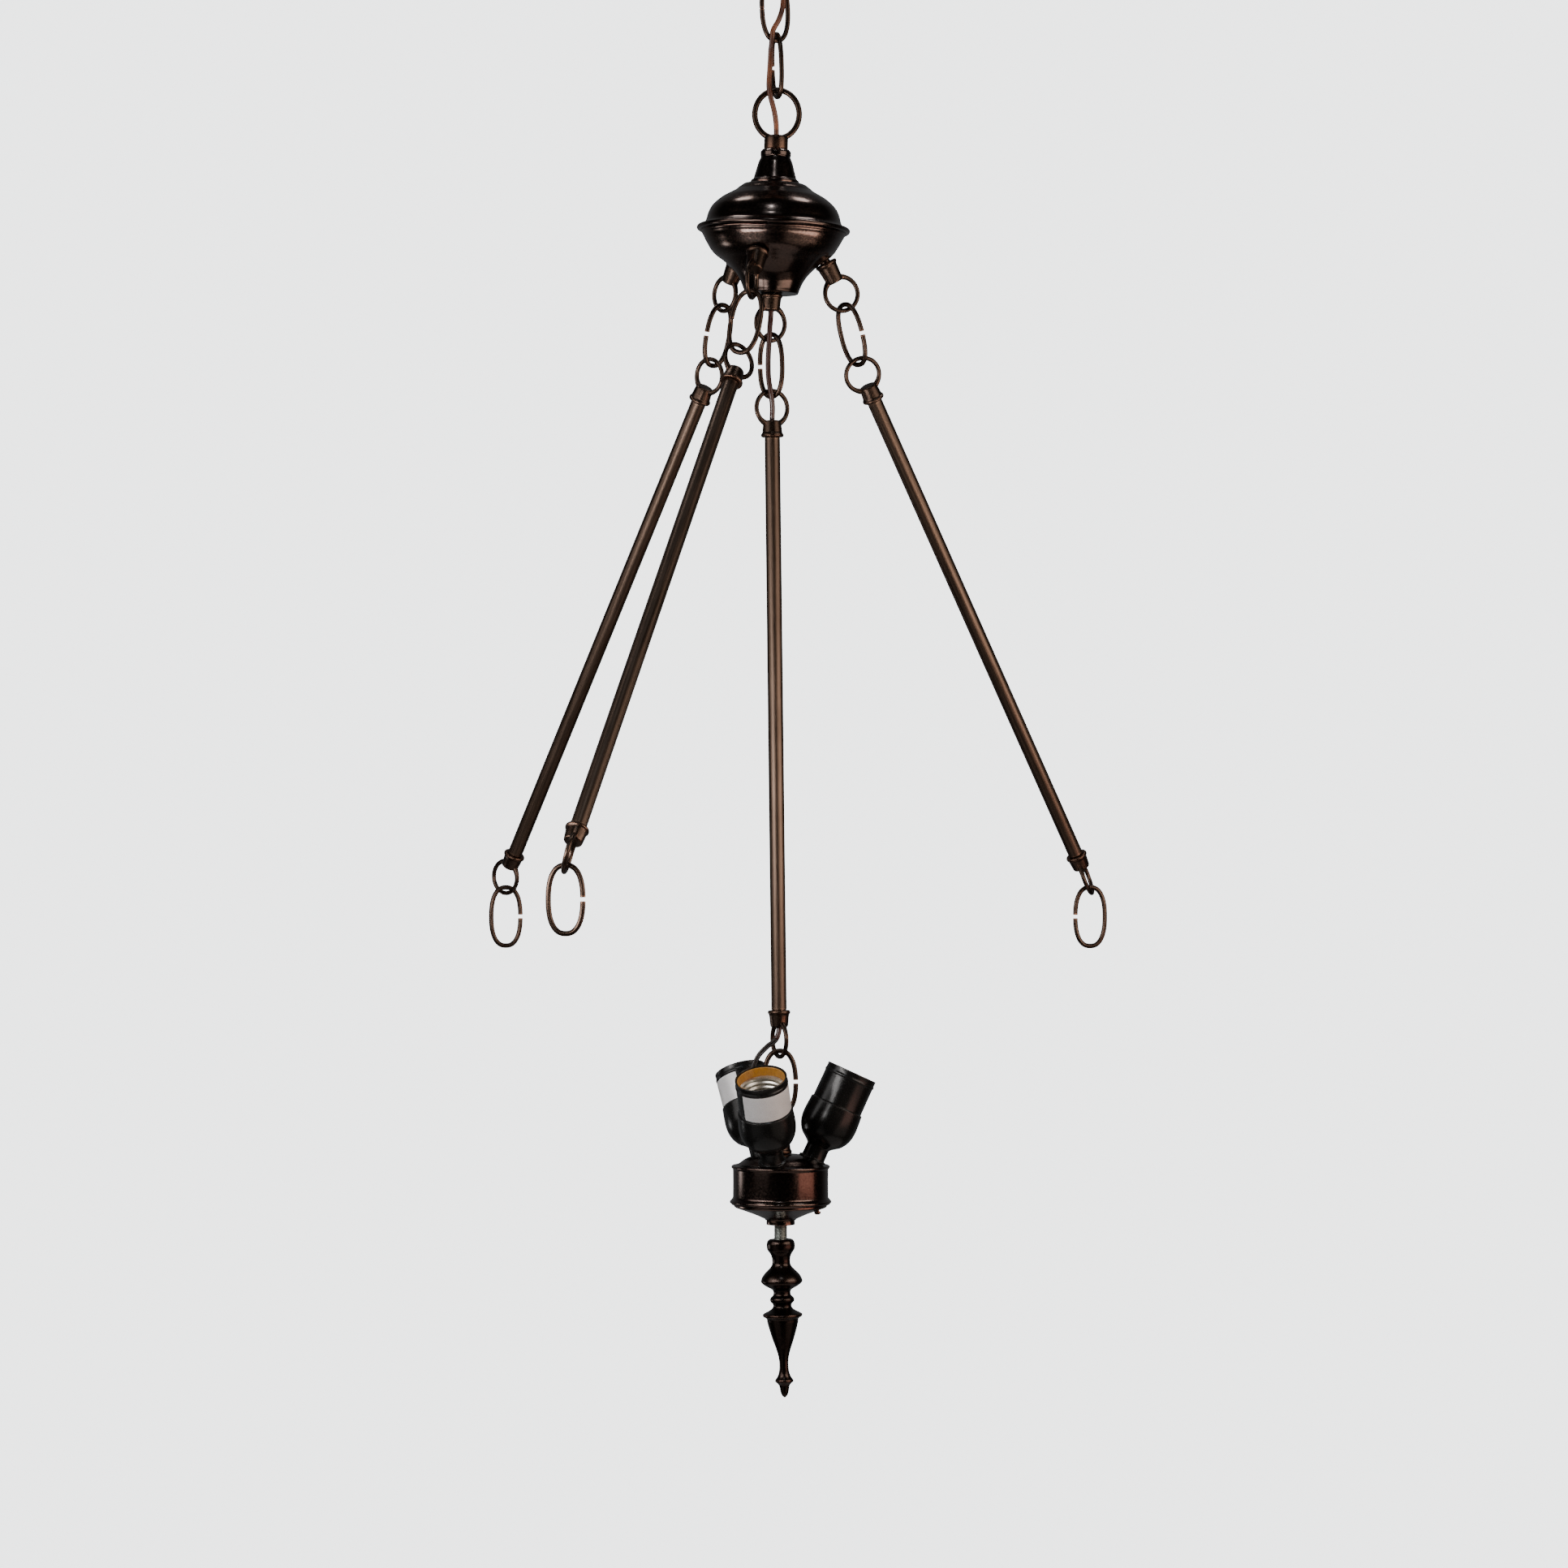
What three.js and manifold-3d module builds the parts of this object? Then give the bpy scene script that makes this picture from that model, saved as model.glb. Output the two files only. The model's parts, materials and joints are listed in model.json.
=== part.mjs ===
// Pendant lamp: ceiling fitting, chain, onion-shaped cap, three chain-hung arms that carry a bowl in their
// end links, and a chain-hung stem with a three-socket cluster and a turned finial.
// Millimetres, +Z up, origin on the ceiling where the mounting strap is fixed, X to the right, Y away.
import * as THREE from 'three';
import { mergeVertices } from 'three/addons/utils/BufferGeometryUtils.js';
import Module from 'manifold-3d';

const wasm = await Module();
wasm.setup();

// Clearances
const seatGap = 0.3; // between two faces that are screwed or pressed together
const wireGap = 0.3; // between two linked wires
const threadGap = 0.3; // all round a threaded pipe in its hole

// Threaded pipe and its nuts
const pipeRadius = 4.75;
const pipeBore = 3.1;
const nutAcrossFlats = 14;
const nutHeight = 3.2;

// Chain links: an oval of round wire, butted in the middle of one long side
const linkWire = 3.6;
const linkWidth = 26;
const linkLength = 48;
const linkButt = 2.6; // the open butt between the wire's ends
const linkSquareness = 2.4; // 2 is an ellipse, more is squarer

// Screw loops: a ring cast on a tapered neck with a collar, screwed into a rod's end or a cover
const ringOuter = 27.8;
const ringWire = 3.3;
const loopCollarRadius = 8.1;
const loopCollarHeight = 2.6;
const loopNeckTop = 7.3;
const loopNeckEnd = 6.3;
const loopNeckLength = 11.9;
const loopCentre = 20.9; // from the seat to the ring's centre
const lugRise = 4; // the cap's loops stand this much taller
const loopShankRadius = 4.2;
const loopShankLength = 9;

// The two large loops that hold the chain's ends
const hookOuter = 34.9;
const hookWire = 4.2;
const hookNeckRadius = 8.55;
const hookNeckLength = 10.6;
const hookCentre = 26.95;
const hookBossRadius = 6.2;
const hookBossHeight = 2.6;
const hookBoreDepth = 8;

// Cord
const cordDiameter = 3.8;
const cordHoleRadius = 2.6;
const cordSides = 8;
const cordJoint = 0.3; // between two stretches of the cord

// Ceiling fitting
const strapLength = 104;
const strapWidth = 22;
const strapThickness = 2.5;
const strapSlotLength = 18;
const strapSlotWidth = 5;
const strapSlotCentre = 36;
const canopyRadius = 65;
const canopyDepth = 32;
const canopyWall = 1.2;
const screwCollarRadius = 10.5;
const screwCollarHeight = 6.6;

// Chain
const chainLean = 2; // degrees that the chain leans, its foot to the right
const hookPlane = 125; // degrees from X to the canopy loop's ring, seen from above
const upperLinkPlane = 35;
const lowerLinkPlane = 107;

// Cap, measured down its own axis from the top of the hanging loop
const capLean = -1.8;
const capWall = 1.2;
const neckTop = 42.6;
const lipRadius = 10.7;
const lipEnd = 47;
const neckWaist = 11.1;
const neckFootRadius = 15.6;
const neckFootTop = 62.5;
const neckSkirtRadius = 17.4;
const neckEnd = 67.3;
const domeTop = 67.6;
const domeTopRadius = 22.4;
const shoulderInset = 4.2; // from the dome's foot to its shoulder
const domeShoulder = 84.1;
const domeFootInset = 2.6; // from the bowl's rim to the dome's foot
const domeFoot = 95;
const rimOverhang = 3.4; // past the bowl's rim
const rimBead = 1.9;
const rimHeight = 99.6;
const bowlRimRadius = 51.4;
const bowlTop = 102;
const bowlEdgeInset = 6.9;
const bowlEdge = 115.4;
const bowlWaistRadius = 25.4;
const bowlWaist = 132;
const hubRadius = 19.2;
const hubFace = 145.6;
const hubEdge = 2;

// Cap loops
const lugInset = 12.4; // from the bowl's rim to the loops' seats
const lugDrop = 119.8;
const lugTilt = 31;
const lugStandOff = 1.3;
const lugShankRadius = 3.9;
const lugShankLength = 10;
const lugNutAcrossFlats = 12;
const lugNutStandOff = 2.2; // its corners clear the bowl's curved wall

// Arms: azimuths are seen from above, from X towards Y, and leans are from straight down
const rodRadius = 5.5;
const rodBore = 4.6; // thin drawn tube
const armRodLength = 388.4;
const arms = [
	{
		side: 'right', lug: 17.1, linkAzimuth: 34.5, linkLean: 16.9, azimuth: 41.5, splay: 32.1,
		topRing: 10, bottomRing: 81.5, endLink: 5, linkTurn: 180, endTurn: 180,
	},
	{
		side: 'left', lug: 130.1, linkAzimuth: 142.7, linkLean: 12.9, azimuth: 134.2, splay: 31.8,
		topRing: 140, bottomRing: 140, endLink: 12, linkTurn: 0, endTurn: 0,
	},
	{
		side: 'front', lug: 254.9, linkAzimuth: 206, linkLean: 11.9, azimuth: 245.6, splay: 37.2,
		topRing: 38, bottomRing: 90, endLink: 0, linkTurn: 180, endTurn: 0,
	},
];

// Stem and its links
const hubPlane = 34;
const centerLinkPlane = 135;
const centerLinkLean = 1.3;
const stemLength = 409;
const stemLean = 0.67;
const stemTopPlane = 26.6;
const stemBottomPlane = 114;
const clusterLinkPlane = 0;
const clusterLinkLean = 1;
const clusterLoopPlane = 100;

// Cluster, measured down from the seat of its loop
const drumTopRadius = 35.1;
const drumRadius = 34.1;
const drumRimRadius = 36.2;
const drumWall = 1.2;
const drumShoulder = 8;
const drumEdge = 2.2;
const drumRim = 33.5;
const drumEnd = 36.2;
const drumCrown = 11;
const coverRadius = 33.2;
const coverLip = 2;
const coverDepth = 11;
const coverFootRadius = 11;
const coverNutRadius = 10.2;
const coverNutHeight = 3;
const rodExposed = 10.3;
const finialBore = 13;
const finialLean = 1.5;
const finialSlack = 0.7; // its thread is loose enough to let it lean
const screwRadius = 30;
const screwAzimuth = -29;
const screwHeadRadius = 2.4;
const screwShankRadius = 1.4;
const clusterCordRadius = 14.5;
const clusterCordAzimuth = 192;

// Sockets, measured up their own axis from the drum's top
const socketFoot = 23.5;
const socketLength = 67.1;
const socketNeckRadius = 8.4;
const socketNeckLength = 9.1;
const socketCupRadius = 20.3;
const socketCupHeight = 27.1;
const socketShellRadius = 18.3;
const socketShellFoot = 44.1;
const socketWall = 0.8;
const socketShankLength = 7;
const insertFoot = 28.1;
const insertFloor = 8; // the thickness of the insulating base under the screw shell
const linerWall = 0.8;
const linerRise = 6.6; // how far the liner stands above the screw shell
const linerInset = 1; // and how far it stays below the rim
const screwShellBore = 13.3;
const socketPlaces = [
	{ side: 'right', azimuth: 6, lean: 24.8 },
	{ side: 'left', azimuth: 124, lean: 26 },
	{ side: 'front', azimuth: 255, lean: 26.5 },
];

// Facets
const wireSides = 6;
const linkSteps = 20;
const ringSteps = 15;
const roundSides = 14;
const shellSides = 22;
const smallSides = 12;
const cordSteps = 2; // to each point of its route

// Worked out from the above
const deg = THREE.MathUtils.degToRad;
const ringRadius = (ringOuter - ringWire) / 2;
const hookRadius = (hookOuter - hookWire) / 2;
const linkHalfWidth = (linkWidth - linkWire) / 2;
const linkHalfLength = (linkLength - linkWire) / 2;
const linkPitch = 2 * linkHalfLength;
const pipeHole = pipeRadius + threadGap;
const ringWires = (ringWire + linkWire) / 2 + wireGap; // centre to centre where a link holds a ring
const hookWires = (hookWire + linkWire) / 2 + wireGap;
const linkWires = linkWire + wireGap;
const cordRadius = cordDiameter / 2;
const rimRadius = bowlRimRadius + rimOverhang;
const domeFootRadius = bowlRimRadius - domeFootInset;
const domeShoulderRadius = domeFootRadius - shoulderInset;
const bowlEdgeRadius = bowlRimRadius - bowlEdgeInset;
const lugRadius = bowlRimRadius - lugInset;

const finishes = {
	bronze: { color: 0x3b2a20, roughness: 0.42, metalness: 0.9 },
	darkBronze: { color: 0x2a1c17, roughness: 0.38, metalness: 0.85 },
	rodBronze: { color: 0x4a3728, roughness: 0.4, metalness: 0.9 },
	blackShell: { color: 0x151413, roughness: 0.5, metalness: 0.2 },
	insert: { color: 0xc9b98f, roughness: 0.6, metalness: 0 },
	zinc: { color: 0x8d938a, roughness: 0.45, metalness: 0.8 },
	steel: { color: 0x9a9a98, roughness: 0.45, metalness: 0.85 },
	cord: { color: 0x5a3420, roughness: 0.6, metalness: 0 },
};

// Three.js geometry as a closed solid: corners merged, faces of no area left out, faces pointing out
function solid(geometry) {
	const bare = geometry.clone();
	bare.deleteAttribute('normal');
	bare.deleteAttribute('uv');
	const merged = mergeVertices(bare, 1e-4);
	const corners = merged.index.array;
	const kept = [];
	for (let i = 0; i < corners.length; i += 3) {
		const [a, b, c] = [corners[i], corners[i + 1], corners[i + 2]];
		if (a !== b && b !== c && c !== a) kept.push(a, b, c);
	}
	const vertProperties = new Float32Array(merged.attributes.position.array);
	if (signedVolume(vertProperties, kept) < 0) kept.reverse();
	return new wasm.Manifold(new wasm.Mesh({ numProp: 3, vertProperties, triVerts: new Uint32Array(kept) }));
}

function signedVolume(points, faces) {
	const corner = (k) => new THREE.Vector3().fromArray(points, 3 * faces[k]);
	let sum = 0;
	for (let i = 0; i < faces.length; i += 3) {
		sum += corner(i).dot(corner(i + 1).cross(corner(i + 2)));
	}
	return sum / 6;
}

function geometryOf(body) {
	const mesh = body.getMesh();
	const geometry = new THREE.BufferGeometry();
	geometry.setAttribute('position', new THREE.BufferAttribute(new Float32Array(mesh.vertProperties), 3));
	geometry.setIndex(new THREE.BufferAttribute(new Uint32Array(mesh.triVerts), 1));
	const flat = geometry.toNonIndexed();
	flat.computeVertexNormals();
	return flat;
}

// A profile of [radius, height] pairs turned round Z. It starts and ends on the axis or closes on itself.
function turned(profile, sides = roundSides) {
	const points = profile.map(([r, z]) => new THREE.Vector2(r, z));
	const onAxis = profile[0][0] === 0 && profile.at(-1)[0] === 0;
	if (!onAxis) points.push(points[0].clone());
	return solid(new THREE.LatheGeometry(points, sides).rotateX(Math.PI / 2));
}

function cylinder(radius, top, bottom, sides = roundSides) {
	return turned([[0, bottom], [radius, bottom], [radius, top], [0, top]], sides);
}

function ringSolid(outer, inner, top, bottom, sides = roundSides) {
	return turned([[inner, bottom], [outer, bottom], [outer, top], [inner, top]], sides);
}

function hexNut(acrossFlats, hole, top, bottom) {
	const body = cylinder(acrossFlats / Math.sqrt(3), top, bottom, 6);
	return body.subtract(cylinder(hole, top + 1, bottom - 1, smallSides));
}

// Moves a solid: first turned about Y, then about Z, then shifted, in degrees and millimetres
function moved(body, { tilt = 0, spin = 0, at = [0, 0, 0] }) {
	return body.rotate([0, tilt, 0]).rotate([0, 0, spin]).translate(at);
}

// A torus standing in the XZ plane
function standingRing(radius, wire, centre) {
	const torus = new THREE.TorusGeometry(radius, wire / 2, wireSides, ringSteps, 2 * Math.PI);
	return solid(torus.rotateX(Math.PI / 2).translate(0, 0, centre));
}

// Points of a curve given as a list of [radius, height] pairs, for a turned profile
function curved(points, count) {
	const curve = new THREE.SplineCurve(points.map(([r, z]) => new THREE.Vector2(r, z)));
	return curve.getPoints(count).map((p) => [p.x, p.y]);
}

// A sheet's wall: the outer outline, and the same outline moved square to itself by the wall
function shellProfile(outline, wall) {
	const inner = outline.map(([r, z], k) => {
		const before = outline[Math.max(k - 1, 0)];
		const after = outline[Math.min(k + 1, outline.length - 1)];
		const along = new THREE.Vector2(after[0] - before[0], after[1] - before[1]).normalize();
		return [r - along.y * -wall, z - along.x * wall];
	});
	return [...outline, ...inner.reverse()];
}

// The oval centre line of a link, standing in the XZ plane, with its butt on the +X side
class LinkCurve extends THREE.Curve {
	getPoint(t, target = new THREE.Vector3()) {
		const power = 2 / linkSquareness;
		const half = Math.asin((linkButt / 2 / linkHalfLength) ** (1 / power));
		const angle = half + t * 2 * (Math.PI - half);
		const [c, s] = [Math.cos(angle), Math.sin(angle)];
		const x = linkHalfWidth * Math.sign(c) * Math.abs(c) ** power;
		const z = linkHalfLength * Math.sign(s) * Math.abs(s) ** power;
		return target.set(x, 0, z);
	}
}

function tubeAlong(curve, radius, sides, steps) {
	const section = new THREE.Shape();
	for (let k = 0; k < sides; k++) {
		const angle = (2 * Math.PI * (k + 0.5)) / sides;
		const point = [radius * Math.cos(angle), radius * Math.sin(angle)];
		if (k === 0) section.moveTo(...point);
		else section.lineTo(...point);
	}
	section.closePath();
	return new THREE.ExtrudeGeometry(section, { steps, bevelEnabled: false, extrudePath: curve });
}

function linkSolid() {
	return solid(tubeAlong(new LinkCurve(), linkWire / 2, wireSides, linkSteps));
}

// A screw loop pointing down from its seat at z = 0, its ring in the XZ plane
function screwLoop({
	rise = 0, shankRadius = loopShankRadius, shankLength = loopShankLength, corded = false, female = false,
}) {
	const neckEnd = -loopNeckLength - rise;
	const neck = turned([
		[0, 0], [loopCollarRadius, 0], [loopCollarRadius, -loopCollarHeight], [loopNeckTop, -loopCollarHeight],
		[loopNeckEnd, neckEnd], [0, neckEnd],
	]);
	let body = neck.add(standingRing(ringRadius, ringWire, -loopCentre - rise));
	if (female) body = body.subtract(cylinder(pipeHole, 1, -hookBoreDepth, smallSides));
	else body = body.add(cylinder(shankRadius, shankLength, -1, smallSides));
	if (corded) body = body.subtract(cylinder(cordHoleRadius, shankLength + 1, neckEnd - 1, cordSides));
	return body;
}

// A large loop pointing down from its seat at z = 0, bored for the threaded pipe and the cord
function hookLoop() {
	const bossEnd = -hookNeckLength - hookBossHeight;
	const neck = turned([
		[0, 0], [hookNeckRadius, 0], [hookNeckRadius, -hookNeckLength], [hookBossRadius, bossEnd], [0, bossEnd],
	]);
	const body = neck.add(standingRing(hookRadius, hookWire, -hookCentre));
	const bored = body.subtract(cylinder(pipeHole, 1, -hookBoreDepth, smallSides));
	return bored.subtract(cylinder(cordHoleRadius, 1, bossEnd - 1, cordSides));
}

const lamp = new THREE.Group();

function piece(parent, name, finish, body) {
	const mesh = new THREE.Mesh(geometryOf(body), new THREE.MeshStandardMaterial(finishes[finish]));
	mesh.name = name;
	parent.add(mesh);
	return mesh;
}

// A group whose -Z points down, leaning by lean degrees towards azimuth
function hanging(parent, point, azimuth, lean) {
	const group = new THREE.Group();
	group.position.copy(point);
	group.rotation.set(0, deg(-lean), deg(azimuth), 'ZYX');
	parent.add(group);
	group.updateMatrixWorld(true);
	return group;
}

function direction(azimuth, lean) {
	const [a, l] = [deg(azimuth), deg(lean)];
	return new THREE.Vector3(Math.sin(l) * Math.cos(a), Math.sin(l) * Math.sin(a), -Math.cos(l));
}

// What is left of a direction in the plane across a normal, as a unit vector
function inPlane(way, normal) {
	return way.clone().addScaledVector(normal, -way.dot(normal)).normalize();
}

// A group's place and axes in the lamp's frame
function at(group, x, y, z) {
	return group.localToWorld(new THREE.Vector3(x, y, z));
}
function axisOf(mesh, x, y, z) {
	mesh.updateWorldMatrix(true, false);
	return new THREE.Vector3(x, y, z).transformDirection(mesh.matrixWorld);
}

// Points along a faceted wire's centre line, in its mesh's own frame
function alongWire(corners) {
	const points = [];
	for (let k = 1; k < corners.length; k++) {
		for (let j = 0; j < 6; j++) points.push(corners[k - 1].clone().lerp(corners[k], j / 6));
	}
	return points;
}

function linkWirePoints() {
	return alongWire(new LinkCurve().getSpacedPoints(linkSteps));
}

function ringWirePoints(radius, centre) {
	const corners = [];
	for (let k = 0; k <= ringSteps; k++) {
		const angle = (2 * Math.PI * k) / ringSteps;
		corners.push(new THREE.Vector3(radius * Math.cos(angle), 0, centre + radius * Math.sin(angle)));
	}
	return alongWire(corners);
}

function inLamp(mesh, points) {
	mesh.updateWorldMatrix(true, false);
	return points.map((p) => mesh.localToWorld(p.clone()));
}

// Lowers a group until the wire of its mesh lies on the wire that holds it, with the gap between them
function settle(group, mesh, wire, held, spacing, way) {
	const step = 0.04;
	group.position.addScaledVector(way, 1);
	for (let lift = 0; lift < 80; lift++) {
		const own = inLamp(mesh, wire);
		const nearest = Math.min(...own.map((p) => Math.min(...held.map((q) => p.distanceTo(q)))));
		if (nearest >= spacing) break;
		group.position.addScaledVector(way, -step);
	}
	group.updateMatrixWorld(true);
}

// A link hung with its upper wire's centre near point, in the wire that holds it
function hangLink(name, point, held, spacing, azimuth, lean, plane, turn = 0) {
	const group = hanging(lamp, point, azimuth, lean);
	const mesh = piece(group, name, 'bronze', linkSolid());
	mesh.position.z = -linkHalfLength;
	mesh.rotation.z = deg(plane - azimuth + turn);
	const way = direction(azimuth, lean);
	settle(group, mesh, linkWirePoints(), held, spacing, way);
	return { mesh, foot: at(group, 0, 0, -linkPitch), way, wire: inLamp(mesh, linkWirePoints()) };
}

// Ceiling fitting
const ceiling = new THREE.Group();
lamp.add(ceiling);

const strapPlate = solid(new THREE.BoxGeometry(strapLength, strapWidth, strapThickness));
const strapSlot = solid(new THREE.BoxGeometry(strapSlotLength, strapSlotWidth, 2 * strapThickness));
let strap = strapPlate.subtract(cylinder(pipeHole, strapThickness, -strapThickness, smallSides));
for (const side of [-1, 1]) strap = strap.subtract(strapSlot.translate([side * strapSlotCentre, 0, 0]));
piece(ceiling, 'mounting_strap', 'steel', strap).position.z = -strapThickness / 2;

const canopyOutline = [
	[canopyRadius, 0], [canopyRadius, -3],
	...curved([[canopyRadius - 1.2, -4.2], [57, -13], [40, -22.5], [22, -28], [15, -canopyDepth]], 4),
	[pipeHole, -canopyDepth],
];
piece(ceiling, 'canopy', 'darkBronze', turned(shellProfile(canopyOutline, canopyWall), shellSides));

const locknutTop = -strapThickness - seatGap;
const strapLocknut = hexNut(nutAcrossFlats, pipeHole, locknutTop, locknutTop - nutHeight);
piece(ceiling, 'strap_locknut', 'steel', strapLocknut);

const collarTop = -canopyDepth - seatGap;
const collarEnd = collarTop - screwCollarHeight;
piece(ceiling, 'screw_collar', 'bronze', turned([
	[pipeHole, collarTop], [screwCollarRadius - 1, collarTop], [screwCollarRadius, collarTop - 1],
	[screwCollarRadius, collarEnd + 1], [screwCollarRadius - 1, collarEnd], [pipeHole, collarEnd],
]));

const canopyLoopSeat = collarEnd - seatGap;
const canopyPipeEnd = canopyLoopSeat - hookBoreDepth + 1;
piece(ceiling, 'canopy_nipple', 'steel', ringSolid(pipeRadius, pipeBore, -0.5, canopyPipeEnd, smallSides));

const canopyLoop = piece(ceiling, 'canopy_loop', 'bronze', hookLoop());
canopyLoop.position.z = canopyLoopSeat;
canopyLoop.rotation.z = deg(hookPlane);

// Chain
const upperLinkTop = new THREE.Vector3(0, 0, canopyLoopSeat - hookCentre - hookRadius + hookWires);
const hookRing = inLamp(canopyLoop, ringWirePoints(hookRadius, -hookCentre));
const upperLink = hangLink(
	'chain_link_upper', upperLinkTop, hookRing, hookWires, 0, chainLean, upperLinkPlane, 180,
);
const lowerLinkTop = upperLink.foot.clone().addScaledVector(upperLink.way, -linkWires);
const lowerLink = hangLink(
	'chain_link_lower', lowerLinkTop, upperLink.wire, linkWires, 0, chainLean, lowerLinkPlane, 0,
);

// Cap: everything below hangs from the top of the hanging loop
const capTop = lowerLink.foot.clone().addScaledVector(lowerLink.way, -hookWires);
const cap = hanging(lamp, capTop, 0, capLean);

const hangingLoop = piece(cap, 'hanging_loop', 'bronze', hookLoop());
hangingLoop.position.z = -hookRadius - hookCentre;
hangingLoop.rotation.x = Math.PI;
const hangingRing = ringWirePoints(hookRadius, -hookCentre);
settle(cap, hangingLoop, hangingRing, lowerLink.wire, hookWires, direction(0, capLean));

piece(cap, 'cap_neck', 'darkBronze', turned([
	[pipeHole, -neckTop], [lipRadius - 1.2, -neckTop], [lipRadius, -neckTop - 1.8], [lipRadius, -lipEnd],
	[neckWaist, -lipEnd - 1.5],
	...curved([[neckWaist + 0.3, -lipEnd - 3.5], [13.4, -56.2], [neckFootRadius, -neckFootTop]], 4),
	[neckSkirtRadius, -neckFootTop - 1.8], [neckSkirtRadius, -neckEnd], [pipeHole, -neckEnd],
]));

const domeOutline = [
	[pipeHole, -domeTop], [domeTopRadius - 0.6, -domeTop],
	...curved([
		[domeTopRadius, -domeTop - 0.5], [27.6, -72.3], [36.2, -76.8], [domeShoulderRadius, -domeShoulder],
		[domeFootRadius - 1, -90.5], [domeFootRadius, -domeFoot],
	], 6),
	[domeFootRadius + 1.6, -domeFoot - 2],
];
const rimCentre = rimRadius - rimBead;
const rimBeadPoints = [];
for (let k = 0; k <= 4; k++) {
	const angle = deg(120 - 60 * k);
	rimBeadPoints.push([rimCentre + rimBead * Math.cos(angle), -rimHeight + rimBead * Math.sin(angle)]);
}
const domeInside = shellProfile(domeOutline, capWall).slice(domeOutline.length);
piece(cap, 'cap_dome', 'darkBronze', turned([...domeOutline, ...rimBeadPoints, ...domeInside], shellSides));

const bowlOutline = [
	[bowlRimRadius, -bowlTop], [bowlRimRadius - 1.4, -bowlTop - 3],
	...curved([
		[bowlRimRadius - 2.2, -bowlTop - 5], [bowlEdgeRadius + 1.6, -bowlEdge + 2.6],
		[lugRadius - 0.2, -lugDrop - 0.1], [bowlWaistRadius + 2.6, -bowlWaist + 3],
		[bowlWaistRadius - 3.2, -bowlWaist - 5],
		[hubRadius, -hubFace + hubEdge],
	], 7),
	[hubRadius, -hubFace], [pipeHole, -hubFace],
];
let bowl = turned(shellProfile(bowlOutline, capWall), shellSides);
for (const { lug } of arms) {
	const hole = cylinder(lugShankRadius + threadGap, 8, -8, smallSides);
	bowl = bowl.subtract(moved(hole, { tilt: -lugTilt, at: [lugRadius, 0, -lugDrop] }).rotate([0, 0, lug]));
}
piece(cap, 'cap_bowl', 'darkBronze', bowl);

const tieTop = -hookRadius - hookCentre + hookBoreDepth - 1;
const tieEnd = -hubFace - seatGap - hookBoreDepth + 1;
piece(cap, 'cap_tie_rod', 'steel', ringSolid(pipeRadius, pipeBore, tieTop, tieEnd, smallSides));

const hubLoop = piece(cap, 'hub_loop', 'bronze', screwLoop({ female: true, corded: true }));
hubLoop.position.z = -hubFace - seatGap;
hubLoop.rotation.z = deg(hubPlane);

const lugWay = new THREE.Vector3(Math.sin(deg(lugTilt)), 0, -Math.cos(deg(lugTilt)));
for (const arm of arms) {
	const turnedBy = new THREE.Group();
	turnedBy.rotation.z = deg(arm.lug);
	cap.add(turnedBy);
	const lug = screwLoop({ rise: lugRise, shankRadius: lugShankRadius, shankLength: lugShankLength });
	const loop = piece(turnedBy, `cap_loop_${arm.side}`, 'bronze', lug);
	loop.position.set(lugRadius, 0, -lugDrop).addScaledVector(lugWay, lugStandOff);
	loop.rotation.y = deg(-lugTilt);
	loop.updateWorldMatrix(true, false);
	arm.ringCentre = loop.localToWorld(new THREE.Vector3(0, 0, -loopCentre - lugRise));
	arm.ringNormal = axisOf(loop, 0, 1, 0);
	arm.ringWire = inLamp(loop, ringWirePoints(ringRadius, -loopCentre - lugRise));
	const nutFoot = capWall + lugStandOff + lugNutStandOff;
	const lugNut = hexNut(lugNutAcrossFlats, lugShankRadius + threadGap, nutFoot + nutHeight, nutFoot);
	const nut = piece(turnedBy, `cap_locknut_${arm.side}`, 'steel', lugNut);
	nut.position.copy(loop.position);
	nut.rotation.copy(loop.rotation);
}

// A rod with a loop screwed into each end, hanging by its upper ring in the foot of a link
function hangRod({ names, link, azimuth, lean, length, topPlane, bottomPlane, corded, rodFinish }) {
	const way = direction(azimuth, lean);
	const ringSide = direction(topPlane, 90);
	const normal = new THREE.Vector3().crossVectors(way, ringSide).normalize();
	const pull = inPlane(link.way.clone().add(way), normal);
	const ring = link.foot.clone().addScaledVector(link.way, -ringWires).addScaledVector(pull, ringRadius);
	const seat = ring.clone().addScaledVector(way, loopCentre);
	const group = hanging(lamp, seat, azimuth, lean);
	const upper = piece(group, names.top, 'bronze', screwLoop({ corded }));
	upper.rotation.set(Math.PI, 0, deg(topPlane - azimuth), 'ZYX');
	settle(group, upper, ringWirePoints(ringRadius, -loopCentre), link.wire, ringWires, way);
	const tube = ringSolid(rodRadius, rodBore, -seatGap, -seatGap - length);
	piece(group, names.rod, rodFinish, tube);
	const lower = piece(group, names.bottom, 'bronze', screwLoop({ corded }));
	lower.position.z = -length - 2 * seatGap;
	lower.rotation.z = deg(bottomPlane - azimuth);
	group.updateMatrixWorld(true);
	const lowerRing = at(group, 0, 0, lower.position.z - loopCentre);
	const lowerWire = inLamp(lower, ringWirePoints(ringRadius, -loopCentre));
	return { group, way, lowerRing, lowerNormal: axisOf(lower, 0, 1, 0), lowerWire };
}

// Where a link's upper wire lies in a ring that it hangs in
function inRing(centre, normal, way) {
	return centre.clone().addScaledVector(inPlane(way, normal), ringRadius - ringWires);
}

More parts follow.
